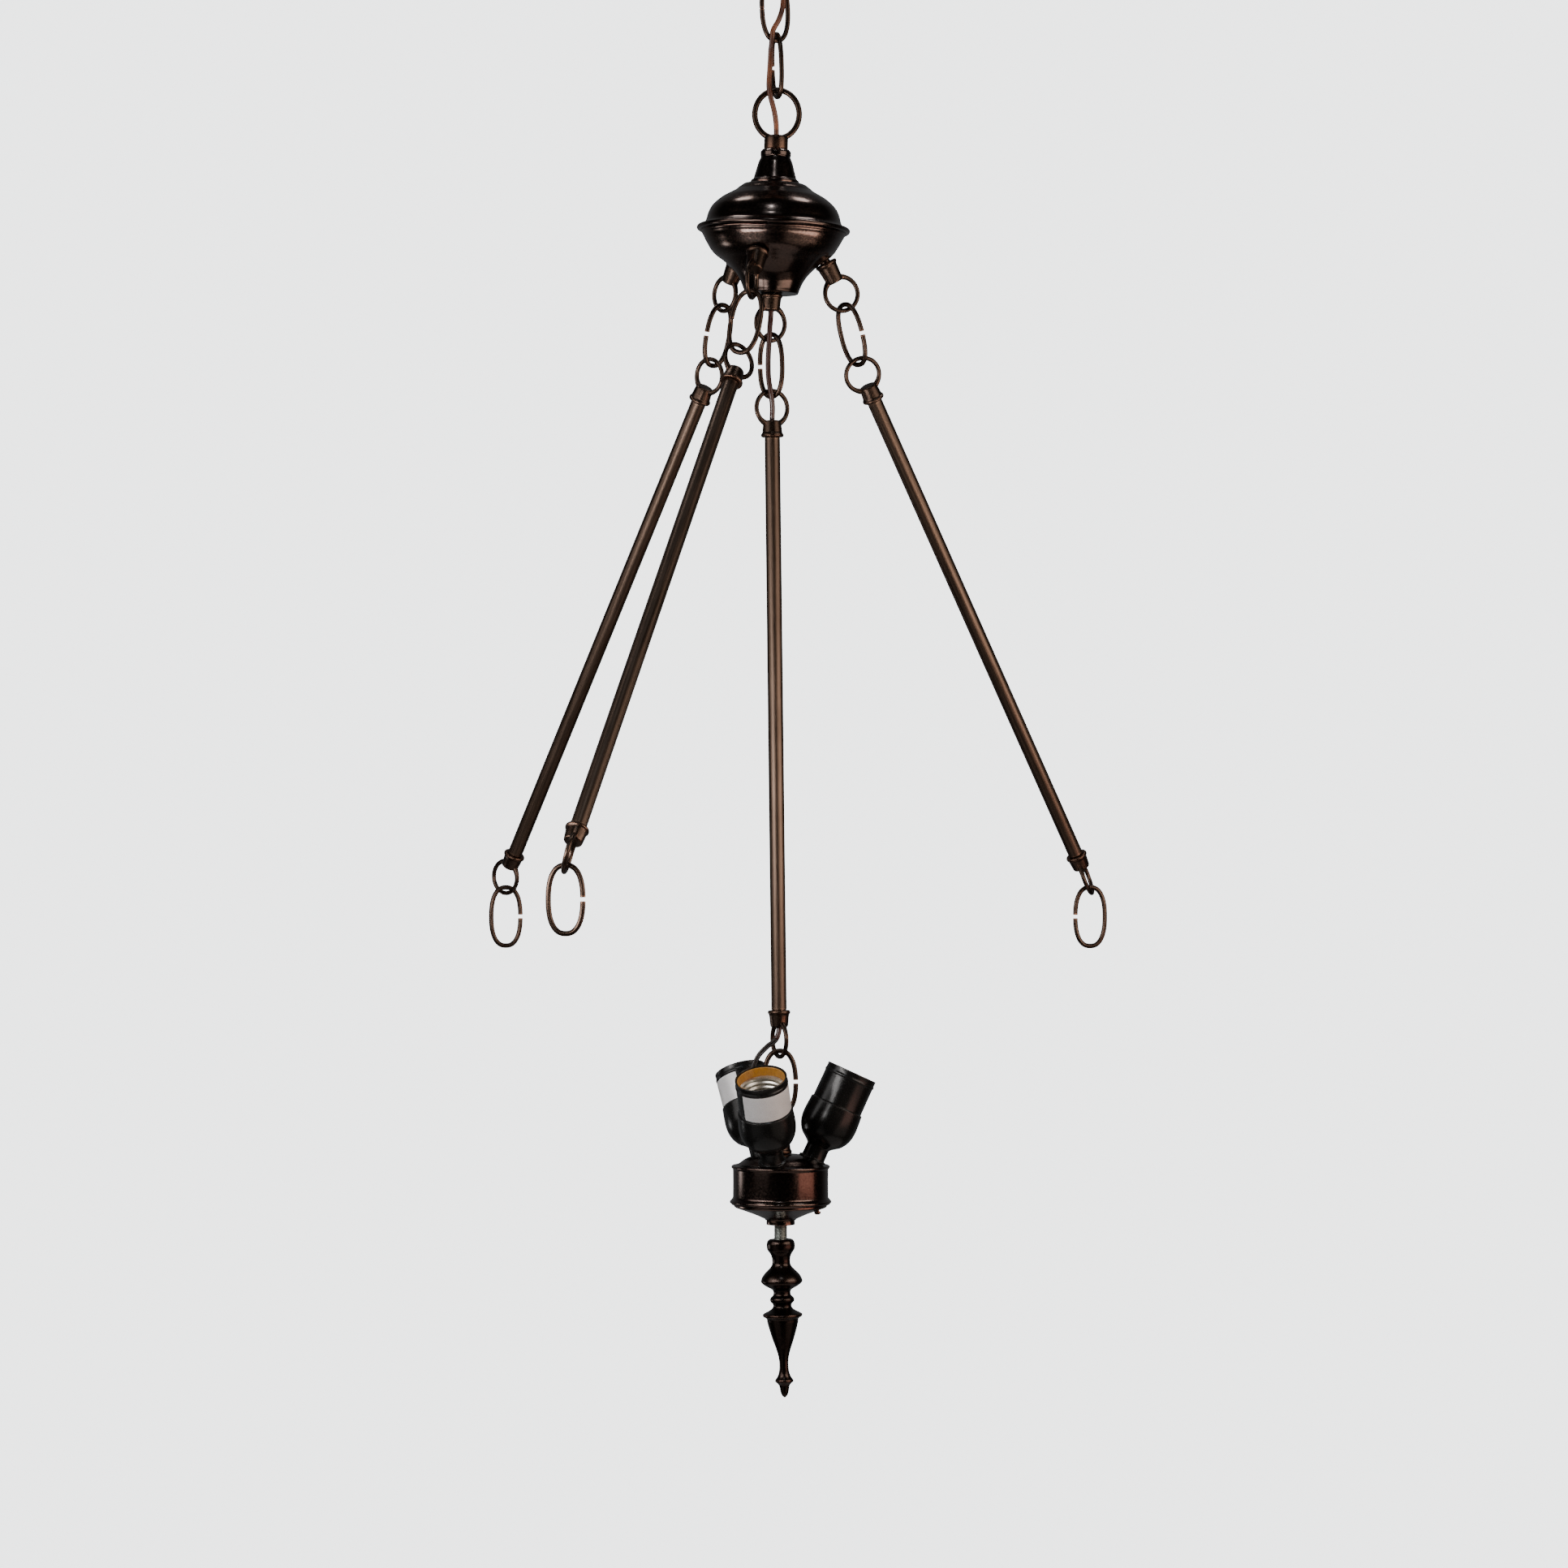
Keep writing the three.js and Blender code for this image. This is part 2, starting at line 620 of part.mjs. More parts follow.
const plumb = new THREE.Vector3(0, 0, -1);
for (const arm of arms) {
	const linkWay = direction(arm.linkAzimuth, arm.linkLean);
	const linkTop = inRing(arm.ringCentre, arm.ringNormal, linkWay);
	const across = arm.azimuth + 90;
	const side = arm.side;
	const link = hangLink(
		`arm_link_${side}`, linkTop, arm.ringWire, ringWires, arm.linkAzimuth, arm.linkLean, across, arm.linkTurn,
	);
	const rod = hangRod({
		names: { top: `arm_top_loop_${side}`, rod: `arm_rod_${side}`, bottom: `arm_bottom_loop_${side}` },
		link, azimuth: arm.azimuth, lean: arm.splay, length: armRodLength,
		topPlane: arm.topRing, bottomPlane: arm.bottomRing, corded: false, rodFinish: 'rodBronze',
	});
	const endTop = inRing(rod.lowerRing, rod.lowerNormal, plumb);
	hangLink(`end_link_${side}`, endTop, rod.lowerWire, ringWires, 0, 0, arm.endLink, arm.endTurn);
}

// Stem
const hubRing = at(cap, 0, 0, hubLoop.position.z - loopCentre);
const centerLinkTop = hubRing.clone().addScaledVector(plumb, ringRadius - ringWires);
const hubWire = inLamp(hubLoop, ringWirePoints(ringRadius, -loopCentre));
const centerLink = hangLink(
	'center_link', centerLinkTop, hubWire, ringWires, 0, centerLinkLean, centerLinkPlane, 0,
);
const stem = hangRod({
	names: { top: 'stem_top_loop', rod: 'stem', bottom: 'stem_bottom_loop' },
	link: centerLink, azimuth: 0, lean: stemLean, length: stemLength,
	topPlane: stemTopPlane, bottomPlane: stemBottomPlane, corded: true, rodFinish: 'rodBronze',
});
const clusterLinkTop = inRing(stem.lowerRing, stem.lowerNormal, direction(0, clusterLinkLean));
const clusterLink = hangLink(
	'cluster_link', clusterLinkTop, stem.lowerWire, ringWires, 0, clusterLinkLean, clusterLinkPlane, 0,
);

// Cluster
const clusterRing = clusterLink.foot.clone().addScaledVector(plumb, ringRadius - ringWires);
const cluster = hanging(lamp, clusterRing.clone().addScaledVector(plumb, loopCentre), 0, 0);
const clusterLoop = piece(cluster, 'cluster_loop', 'bronze', screwLoop({ female: true }));
clusterLoop.rotation.set(Math.PI, 0, deg(clusterLoopPlane), 'ZYX');
settle(cluster, clusterLoop, ringWirePoints(ringRadius, -loopCentre), clusterLink.wire, ringWires, plumb);

const drumTop = -seatGap;
const drumCrownPoints = [[drumCrown, 0], [20, -1.5], [25, -3.2], [28.5, -6.6]];
const drumTopPoints = drumCrownPoints.map(([r, z]) => [r, drumTop + z]);
const drumOutline = [
	[0, drumTop], ...drumTopPoints, [drumTopRadius - 1, drumTop - drumShoulder],
	[drumTopRadius, drumTop - drumShoulder - 0.6], [drumTopRadius, drumTop - drumShoulder - drumEdge],
	[drumRadius, drumTop - drumShoulder - drumEdge - 0.8], [drumRadius, -drumRim + 1.5],
	[drumRimRadius, -drumRim + 0.3], [drumRimRadius, -drumEnd],
];
const socketAxes = socketPlaces.map(({ azimuth, lean }) => {
	const foot = [socketFoot * Math.cos(deg(azimuth)), socketFoot * Math.sin(deg(azimuth)), drumTop - 2.5];
	return { tilt: lean, spin: azimuth, at: foot };
});
let drum = turned([...drumOutline, [0, -drumEnd]], shellSides);
const drumInside = turned([
	[0, drumTop - drumWall], ...drumTopPoints.map(([r, z]) => [r - drumWall / 2, z - drumWall]),
	[drumRadius - drumWall, drumTop - drumShoulder - drumWall], [drumRadius - drumWall, -drumEnd - 1],
	[0, -drumEnd - 1],
], shellSides);
drum = drum.subtract(drumInside).subtract(cylinder(pipeHole, 2, -drumShoulder, smallSides));
for (const place of socketAxes) {
	drum = drum.subtract(moved(cylinder(pipeRadius + threadGap, 12, -12, smallSides), place));
}
const cordHoleAt = direction(clusterCordAzimuth, 90).multiplyScalar(clusterCordRadius).setZ(0).toArray();
drum = drum.subtract(cylinder(cordHoleRadius, 2, -drumShoulder, cordSides).translate(cordHoleAt));
piece(cluster, 'cluster_body', 'darkBronze', drum);

const coverTop = -drumEnd - seatGap;
const coverOutline = [
	[pipeHole, coverTop - coverDepth], [coverFootRadius, coverTop - coverDepth],
	[coverFootRadius + 3.5, coverTop - coverDepth + 2], [coverRadius - 3, coverTop - coverLip],
	[coverRadius, coverTop - coverLip + 0.6], [coverRadius, coverTop],
];
let cover = turned(shellProfile([...coverOutline].reverse(), drumWall), shellSides);
const screwAt = [screwRadius * Math.cos(deg(screwAzimuth)), screwRadius * Math.sin(deg(screwAzimuth)), 0];
const screwHole = cylinder(screwShankRadius + threadGap, coverTop + 3, coverTop - 6, cordSides);
cover = cover.subtract(screwHole.translate(screwAt));
piece(cluster, 'cluster_cover', 'darkBronze', cover);

const screwSeat = coverTop - coverLip - 1.6;
const coverScrew = cylinder(screwHeadRadius, screwSeat, screwSeat - 2.2, smallSides)
	.add(cylinder(screwShankRadius, coverTop + 5, screwSeat - 1, cordSides));
piece(cluster, 'cover_screw', 'bronze', coverScrew.translate(screwAt));

const coverNutTop = coverTop - coverDepth - seatGap;
const coverNutEnd = coverNutTop - coverNutHeight;
piece(cluster, 'cover_nut', 'darkBronze', ringSolid(coverNutRadius, pipeHole, coverNutTop, coverNutEnd));

const finialTop = coverNutEnd - rodExposed;
const rodEnd = finialTop - finialBore + 1.5;
const threadedRod = ringSolid(pipeRadius, pipeBore, hookBoreDepth - 1, rodEnd, smallSides + 2);
piece(cluster, 'threaded_rod', 'zinc', threadedRod);

// Finial: a button, a cove, a bulb, a bead, a disc, a long taper and a small knob, from the top down
const finialProfile = [
	[0, -finialBore], [pipeRadius + finialSlack, -finialBore], [pipeRadius + finialSlack, 0],
	[8, 0], [9.8, -2.2], [10.1, -7], [7.6, -10.2], [6.4, -16], [8.4, -21], [13, -26],
	[14.9, -29.6], [13, -32.4], [7.2, -36], [6.1, -38.6],
	[8.7, -43.4], [6.5, -47], [8.4, -50], [14.2, -53.8], [11, -58.2],
	[9.4, -64], [7.6, -70], [5, -77.2], [3.5, -83], [3.25, -88.5], [3.8, -94], [6.6, -100.8],
	[3.6, -104.4], [2.5, -110], [0, -113.6],
];
const finial = piece(cluster, 'finial', 'darkBronze', turned(finialProfile, roundSides));
finial.position.z = finialTop;
finial.rotation.y = deg(-finialLean);

// Sockets
// The drum's top with its clearance, as flat faces across each socket's foot
const keepOutPoints = [
	[0, 0], ...drumCrownPoints, [drumTopRadius, -drumShoulder], [drumTopRadius, -20], [0, -20],
];
const keepOutEdge = keepOutPoints.map(([r, z]) => new THREE.Vector2(r, drumTop + seatGap + z));
const keepOutShape = new THREE.Shape(keepOutEdge);
const keepOutBlock = new THREE.ExtrudeGeometry(keepOutShape, { depth: 30, bevelEnabled: false });
const keepOut = solid(keepOutBlock.rotateX(Math.PI / 2).translate(0, 15, 0));
const shellOutline = [
	[socketNeckRadius, socketNeckLength],
	...curved([
		[socketNeckRadius + 4, socketNeckLength + 2.6], [socketCupRadius - 1.6, socketCupHeight - 7],
		[socketCupRadius, socketCupHeight],
	], 4),
	[socketCupRadius - 0.5, socketCupHeight + 8], [socketShellRadius, socketShellFoot],
	[socketShellRadius, socketLength],
];
const linerRadius = socketShellRadius - socketWall - seatGap;
const linerTop = socketLength - linerInset;
function socketHolder() {
	const outside = turned([[0, -4], [socketNeckRadius, -4], ...shellOutline, [0, socketLength]]);
	const cavity = shellOutline.map(([r, z]) => [r - socketWall, z + socketWall]);
	const inside = turned([[0, socketNeckLength + socketWall], ...cavity, [0, socketLength + socketWall]]);
	return outside.subtract(inside);
}
function socketInsert() {
	const shellTop = linerTop - linerRise;
	return turned([
		[cordHoleRadius, insertFoot], [linerRadius, insertFoot], [linerRadius, linerTop],
		[linerRadius - linerWall, linerTop], [linerRadius - linerWall, shellTop], [screwShellBore, shellTop],
		[screwShellBore, insertFoot + insertFloor], [cordHoleRadius, insertFoot + insertFloor],
	]);
}
socketAxes.forEach((place, k) => {
	const side = socketPlaces[k].side;
	const shank = moved(cylinder(pipeRadius, 2, -socketShankLength, smallSides), place);
	const wireHole = cylinder(cordHoleRadius, socketNeckLength + 2, -socketShankLength - 1, cordSides);
	const foot = keepOut.rotate([0, 0, place.spin]);
	const holder = moved(socketHolder(), place).subtract(foot).add(shank).subtract(moved(wireHole, place));
	piece(cluster, `socket_${side}`, 'blackShell', holder);
	piece(cluster, `socket_insert_${side}`, 'insert', moved(socketInsert(), place));
});

// The supply cord runs the whole way down, in a stretch for each pair of parts that swing on each other
const holeWorld = at(cluster, ...cordHoleAt);
const capMiddle = at(cap, 0, 0, -92).toArray();
const stemMiddle = at(stem.group, 0, 0, -stemLength / 2).toArray();
const bore = (group, z) => at(group, 0, 0, z).toArray();
const cordRoute = {
	supply_cord_top: [
		[0, 0, -1.2], [0, 0, -24], [0, 0, canopyLoopSeat - 8], [0.3, -0.1, -54], [2.4, -0.5, -63],
		[5.4, -1, -72], [6.8, -1.4, -81], [6.8, -2, -90],
	],
	supply_cord_middle: [
		[6.2, -2.8, -98], [3.6, -5.5, -107], [-0.5, -6.7, -115], [-1.3, -6.3, -122], [-2.2, -4, -130],
	],
	supply_cord_bottom: [
		[-2.6, -4.1, -138.4], [-3.2, -4.5, -147], [-3.5, -4.9, -155], [-2.3, -4.9, -162], [0.3, -3.2, -172],
		[1.6, -1, -180.5], bore(cap, -32), bore(cap, -50),
	],
	hub_cord: [
		capMiddle, bore(cap, -130), bore(cap, -150), [-2.2, -0.6, -318], [-2.8, -3.6, -326], [-3.2, -5.2, -334],
		[-3.8, -4.6, -344],
	],
	stem_cord_upper: [
		[-4.1, -3.6, -353.7], [-3.6, -4.7, -364], [-2.2, -5.4, -373], [-1, -3.1, -383], bore(stem.group, 12),
		bore(stem.group, -10),
	],
	stem_cord_lower: [
		stemMiddle, bore(stem.group, -stemLength + 10), bore(stem.group, -stemLength - 13.5), [1.4, -1.4, -835],
		[-4.4, -3.4, -839.5], [-11, -4, -846.5], [-15, -3.6, -856],
	],
	cluster_cord: [
		[-15.8, -3, -866.5], [-15, -2.8, -880], [-11.5, -2.9, -897],
		holeWorld.clone().setZ(holeWorld.z + 6).toArray(), holeWorld.clone().setZ(holeWorld.z - 5).toArray(),
	],
};
const cordPoints = Object.values(cordRoute).flat().map((p) => new THREE.Vector3(...p));
const cordCurve = new THREE.CatmullRomCurve3(cordPoints);
const cordSpans = cordPoints.length - 1;

// One stretch of the cord, from one point of its route to another, short of each by half the joint
class CordStretch extends THREE.Curve {
	constructor(first, last) {
		super();
		const near = 0.0005;
		const speed = (t) => cordCurve.getPoint(t + near).distanceTo(cordCurve.getPoint(t - near)) / 2 / near;
		const inset = (t) => cordJoint / 2 / speed(t);
		this.start = first === 0 ? 0 : first / cordSpans + inset(first / cordSpans);
		this.end = last === cordSpans ? 1 : last / cordSpans - inset(last / cordSpans);
	}
	getPoint(t, target) {
		return cordCurve.getPoint(this.start + t * (this.end - this.start), target);
	}
	getUtoTmapping(u) {
		return u;
	}
}
let cordStart = 0;
for (const [name, points] of Object.entries(cordRoute)) {
	const cordEnd = Math.min(cordStart + points.length, cordSpans);
	const stretch = new CordStretch(cordStart, cordEnd);
	const tube = tubeAlong(stretch, cordRadius, cordSides, cordSteps * (cordEnd - cordStart));
	piece(lamp, name, 'cord', solid(tube));
	cordStart = cordEnd;
}

export default lamp;
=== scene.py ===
"""Looks of a chain-hung pendant lamp: antique bronze ironwork, three splayed arms, and a stem with sockets.

Places in the lamp's frame are in metres, profiles and sizes in millimetres, which mm turns to metres.
"""
import json
import math

import bmesh
import bpy
import numpy as np
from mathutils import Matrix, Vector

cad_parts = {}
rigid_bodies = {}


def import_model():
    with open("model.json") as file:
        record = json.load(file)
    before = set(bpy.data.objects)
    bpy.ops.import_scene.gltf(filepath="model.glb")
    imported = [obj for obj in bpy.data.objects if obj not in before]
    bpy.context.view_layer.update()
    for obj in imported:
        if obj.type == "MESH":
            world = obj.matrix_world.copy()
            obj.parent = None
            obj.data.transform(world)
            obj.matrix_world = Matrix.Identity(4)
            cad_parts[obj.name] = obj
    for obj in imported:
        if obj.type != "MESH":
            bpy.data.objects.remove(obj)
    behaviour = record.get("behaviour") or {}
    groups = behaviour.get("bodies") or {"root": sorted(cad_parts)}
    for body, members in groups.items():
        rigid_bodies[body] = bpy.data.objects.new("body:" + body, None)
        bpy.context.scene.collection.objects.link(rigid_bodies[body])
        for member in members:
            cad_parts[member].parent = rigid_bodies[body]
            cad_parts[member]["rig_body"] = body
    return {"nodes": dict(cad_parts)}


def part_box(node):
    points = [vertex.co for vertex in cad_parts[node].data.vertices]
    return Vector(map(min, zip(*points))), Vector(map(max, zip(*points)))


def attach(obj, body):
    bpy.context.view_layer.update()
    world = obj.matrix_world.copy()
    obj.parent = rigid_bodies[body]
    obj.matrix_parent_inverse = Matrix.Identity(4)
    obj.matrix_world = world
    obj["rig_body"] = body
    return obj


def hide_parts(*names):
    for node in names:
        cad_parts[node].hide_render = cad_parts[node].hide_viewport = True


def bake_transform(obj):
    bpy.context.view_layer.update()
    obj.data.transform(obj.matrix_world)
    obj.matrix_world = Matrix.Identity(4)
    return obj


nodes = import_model()["nodes"]
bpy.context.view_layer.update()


# Camera: level, straight at the lamp from 3.2 m, a long lens whose frame is shifted up a little,
# so that the chain runs out of the top of the picture.
picture_width, focal_pixels, horizon_below_middle = 1932, 5500, 32
sensor_width = 36


def in_scene(name, data):
    """A new object with its data, linked to the scene."""
    thing = bpy.data.objects.new(name, data)
    bpy.context.scene.collection.objects.link(thing)
    return thing


camera = in_scene("camera", bpy.data.cameras.new("camera"))
camera.location = (0.00725, -3.19, -0.6709)
camera.rotation_euler = (math.radians(90), 0, 0)
camera.data.sensor_width = sensor_width
camera.data.lens = focal_pixels / picture_width * sensor_width
camera.data.shift_y = horizon_below_middle / picture_width
camera.data.clip_end = 50
bpy.context.scene.camera = camera


# Studio: a pale backdrop for the camera. What lights the lamp is pale right behind it and dark on the
# camera's side, with two narrow soft boxes low in front, dimmer ones below, large ones beside it, a dim red
# one low on the right, a small bluish window high in front, and weak lights overhead and at the left back.
backdrop_tone, backdrop_strength = (0.925, 0.94, 0.945, 1), 3.5
glow_tone, front_glow, behind_glow = (0.95, 0.97, 1, 1), 0.01, 0.12
plain, pale, warm = (1, 1, 1), (1, 0.97, 0.96), (1, 0.88, 0.78)


def plug(tree, node, inputs):
    """Sets a node's inputs: one that is given a socket is linked to it, any other takes the value."""
    for name, value in inputs.items():
        if isinstance(value, bpy.types.NodeSocket):
            tree.links.new(value, node.inputs[name])
        else:
            node.inputs[name].default_value = value


def part(tree, kind, inputs=None, out=0, **settings):
    """A new shader node's output, after its settings and its inputs are set."""
    node = tree.nodes.new("ShaderNode" + kind)
    for name, value in settings.items():
        setattr(node, name, value)
    plug(tree, node, inputs or {})
    return node.outputs[out]


world = bpy.data.worlds.new("studio")
bpy.context.scene.world = world
world.use_nodes = True
studio = world.node_tree
backdrop = studio.nodes["Background"]
plug(studio, backdrop, {"Color": backdrop_tone, "Strength": backdrop_strength})
towards_back = part(studio, "SeparateXYZ", {"Vector": part(studio, "TexCoord", out="Generated")}, "Y")
glow = part(studio, "MapRange", {
    "Value": towards_back, "From Min": 0.3, "From Max": 0.9, "To Min": front_glow, "To Max": behind_glow,
}, interpolation_type="SMOOTHSTEP")
around = part(studio, "Background", {"Color": glow_tone, "Strength": glow})
seen = part(studio, "LightPath", out="Is Camera Ray")
shown_or_lit = part(studio, "MixShader", {0: seen, 1: around, 2: backdrop.outputs[0]})
plug(studio, studio.nodes["World Output"], {"Surface": shown_or_lit})

for name, place, aim_height, size, power, tint in (
    ("left_low", (-0.37, -0.47, -0.66), -0.28, (0.42, 0.12), 3, pale),
    ("right_low", (0.49, -0.344, -0.67), -0.28, (0.7, 0.15), 2.2, (1, 0.86, 0.74)),
    ("left_below", (-0.8, -0.75, -1.4), -0.3, (0.9, 0.9), 0.6, pale),
    ("right_below", (0.95, -0.65, -1.4), -0.3, (1.1, 0.9), 1.1, warm),
    ("left_side", (-1.39, -0.8, -0.2), -0.5, (1.3, 1.1), 10, pale),
    ("right_side", (1.39, -0.8, -0.2), -0.5, (1.3, 1.1), 11, warm),
    ("red_side", (1.2, -0.55, -1.15), -1, (1, 0.35), 2.2, (1, 0.5, 0.4)),
    ("window", (-0.1, -1.6, 1.3), -0.4, (0.12, 0.12), 4, (0.75, 0.9, 1)),
    ("overhead_left", (-0.9, 0.4, 1.6), -0.3, (0.5, 0.5), 8, plain),
    ("overhead_right", (0.9, 0.4, 1.6), -0.3, (0.5, 0.5), 8, plain),
    ("left_back", (-1.3, 0.55, -1.2), -0.9, (0.3, 0.3), 1.2, plain),
):
    light = bpy.data.lights.new(name, "AREA")
    light.shape = "RECTANGLE"
    light.size, light.size_y = size
    light.energy = power
    light.color = tint
    lamp = in_scene(name, light)
    lamp.location = place
    lamp.rotation_mode = "QUATERNION"
    lamp.rotation_quaternion = Vector(np.array((0, 0, aim_height)) - place).to_track_quat("-Z", "Y")
    lamp.visible_camera = False


def shader(name):
    """A new material, its node tree and its main shader."""
    material = bpy.data.materials.new(name)
    material.use_nodes = True
    return material, material.node_tree, material.node_tree.nodes["Principled BSDF"]


# Floor: a round sheet of pale board well under the lamp, below what the camera sees. It only throws a
# little light up from where the floor of a room would.
floor_height, floor_radius, floor_corners = -1.8, 0.7, 96


def round_turn(count):
    """Equal steps of angle round a full turn."""
    return np.linspace(0, 2 * np.pi, count, endpoint=False)


turn = round_turn(floor_corners)
floor_mesh = bpy.data.meshes.new("floor")
floor_mesh.from_pydata(
    np.stack([floor_radius * np.cos(turn), floor_radius * np.sin(turn), 0 * turn + floor_height], 1),
    [], [list(range(floor_corners))],
)
in_scene("floor", floor_mesh)
floor_paint, tree, look = shader("floor_paint")
plug(tree, look, {"Base Color": (0.86, 0.87, 0.87, 1), "Roughness": 0.7})
floor_mesh.materials.append(floor_paint)


# Supply cord: brown-jacketed lamp cord, 3.8 mm thick, threaded down through the chain, the cap and the stem.
# Under the stem the jacket is stripped and its two black leads go on into the cluster. Below the cap the
# jacket's colour goes darker downwards, which is painted shade under the cap and hub.
mm = 0.001
cord_radius, lead_radius = 0.0019, 0.00094
strip_height, lead_lay = -0.8345, 0.2
steps_per_point, lead_overlap = 14, 3
# Heights in metres between which the jacket's colour goes over to a painted shade.
shade_start_height, full_shade_height = -0.25, -0.31


def rows_of(layer, name):
    """A property of all of a mesh's points, as an array of rows of three."""
    values = np.empty(3 * len(layer))
    layer.foreach_get(name, values)
    return values.reshape(-1, 3)


def corners_of(node):
    """A node's corner points, each once, as an array of rows."""
    return np.unique(rows_of(nodes[node].data.vertices, "co").round(7), axis=0)


def spreads(points):
    """The unit ways in which points spread widest, next and least, as rows."""
    return np.linalg.svd(points - points.mean(0), full_matrices=False)[2]


def unit(ways):
    """Ways over their own lengths."""
    return ways / np.linalg.norm(ways, axis=-1, keepdims=True)


def line_of(node):
    """A straight round node's axis: the middle of its upper end, its unit way down, and its length.

    An end's middle is the mean of the corners that lie within a hair of it, along the way found so far.
    """
    hair = 0.0004
    points = corners_of(node)
    way = spreads(points)[0]
    way = -way if way[2] > 0 else way
    for _ in range(3):
        depth = (points - points.mean(0)) @ way
        top = points[depth < depth.min() + hair].mean(0)
        foot = points[depth > depth.max() - hair].mean(0)
        way = unit(foot - top)
    return top, way, np.linalg.norm(foot - top)


def down(line, depth):
    """The point at a depth in millimetres along a line."""
    return line[0] + depth * mm * line[1]


def at(*place):
    """A point in the lamp's frame, from millimetres."""
    return np.array(place) * mm


def run_of(line):
    """The distance run along a line at each of its points."""
    return np.concatenate([[0], np.cumsum(np.linalg.norm(np.diff(line, axis=0), axis=1))])


def through(points, steps):
    """A smooth curve through points: centripetal Catmull-Rom, where a span's knots are as far apart as the
    square roots of the distances between its points, evaluated at equal steps in each span."""
    points = np.asarray(points, float)
    padded = np.vstack([2 * points[0] - points[1], points, 2 * points[-1] - points[-2]])
    p0, p1, p2, p3 = (padded[k : len(padded) - 3 + k, None] for k in range(4))
    gaps = ((p0, p1), (p1, p2), (p2, p3))
    t1, t2, t3 = np.cumsum([np.sqrt(np.linalg.norm(b - a, axis=-1, keepdims=True)) for a, b in gaps], axis=0)
    t = t1 + (t2 - t1) * np.linspace(0, 1, steps, endpoint=False)[None, :, None]
    a1 = ((t1 - t) * p0 + t * p1) / t1
    a2 = ((t2 - t) * p1 + (t - t1) * p2) / (t2 - t1)
    a3 = ((t3 - t) * p2 + (t - t2) * p3) / (t3 - t2)
    b1 = ((t2 - t) * a1 + t * a2) / t2
    b2 = ((t3 - t) * a2 + (t - t1) * a3) / (t3 - t1)
    c = ((t2 - t) * b1 + (t - t1) * b2) / (t2 - t1)
    return np.vstack([c.reshape(-1, points.shape[1]), points[-1:]])


def grid_faces(rows, columns, round_rows=False, round_columns=True):
    """The quads of a grid of points: each joins a point to the next ones along both parameters."""
    r, c = np.meshgrid(
        np.arange(rows if round_rows else rows - 1), np.arange(columns if round_columns else columns - 1),
        indexing="ij",
    )
    r2, c2 = (r + 1) % rows, (c + 1) % columns
    corners = [r * columns + c, r * columns + c2, r2 * columns + c2, r2 * columns + c]
    return np.stack(corners, -1).reshape(-1, 4)


def finished(piece, smooth_angle=35):
    """Smooth shading, sharp edges where faces meet at more than an angle, and the edges' worn share.

    The attribute worn is 0 on flat and hollow places and where an edge's radius is over 1.4 mm, and grows
    to 1 at 0.3 mm: a corner's bend along each of its edges is the change of its normal over the edge's
    length, and the most counts.
    """
    blunt, tight = 700, 3300
    mesh = piece.data
    mesh.shade_smooth()
    mesh.set_sharp_from_angle(angle=math.radians(smooth_angle))
    place, normal = (rows_of(mesh.vertices, name) for name in ("co", "normal"))
    ends = np.empty(2 * len(mesh.edges), np.int32)
    mesh.edges.foreach_get("vertices", ends)
    a, b = ends.reshape(-1, 2).T
    gap = place[b] - place[a]
    bend = ((normal[b] - normal[a]) * gap).sum(1) / np.maximum((gap**2).sum(1), 1e-12)
    most = np.zeros(len(place))
    np.maximum.at(most, a, bend)
    np.maximum.at(most, b, bend)
    worn = mesh.attributes.get("worn") or mesh.attributes.new("worn", "FLOAT", "POINT")
    worn.data.foreach_set("value", np.clip((most - blunt) / (tight - blunt), 0, 1).astype(np.float32))
    return piece


def made(name, sheets, smooth_angle=35):
    """One object from sheets: grids of points, their quads, and each point's place in the piece's own frame.

    Points that fall together, as at a pole, are merged, and the faces are turned outwards.
    """
    points, own_place = (np.vstack([s[k].reshape(-1, 3) for s in sheets]) for k in (0, 2))
    weld_within, speck = 2e-6, 1e-7
    starts = np.cumsum([0] + [s[0].size // 3 for s in sheets[:-1]])
    faces = np.vstack([s[1] + start for s, start in zip(sheets, starts)])
    mesh = bpy.data.meshes.new(name)
    mesh.from_pydata(points, [], faces.tolist())
    own = mesh.attributes.new("own_place", "FLOAT_VECTOR", "POINT")
    own.data.foreach_set("vector", own_place.astype(np.float32).ravel())
    shape = bmesh.new()
    shape.from_mesh(mesh)
    bmesh.ops.remove_doubles(shape, verts=shape.verts, dist=weld_within)
    bmesh.ops.dissolve_degenerate(shape, edges=shape.edges, dist=speck)
    bmesh.ops.recalc_face_normals(shape, faces=shape.faces)
    shape.to_mesh(mesh)
    shape.free()
    return finished(in_scene(name, mesh), smooth_angle)


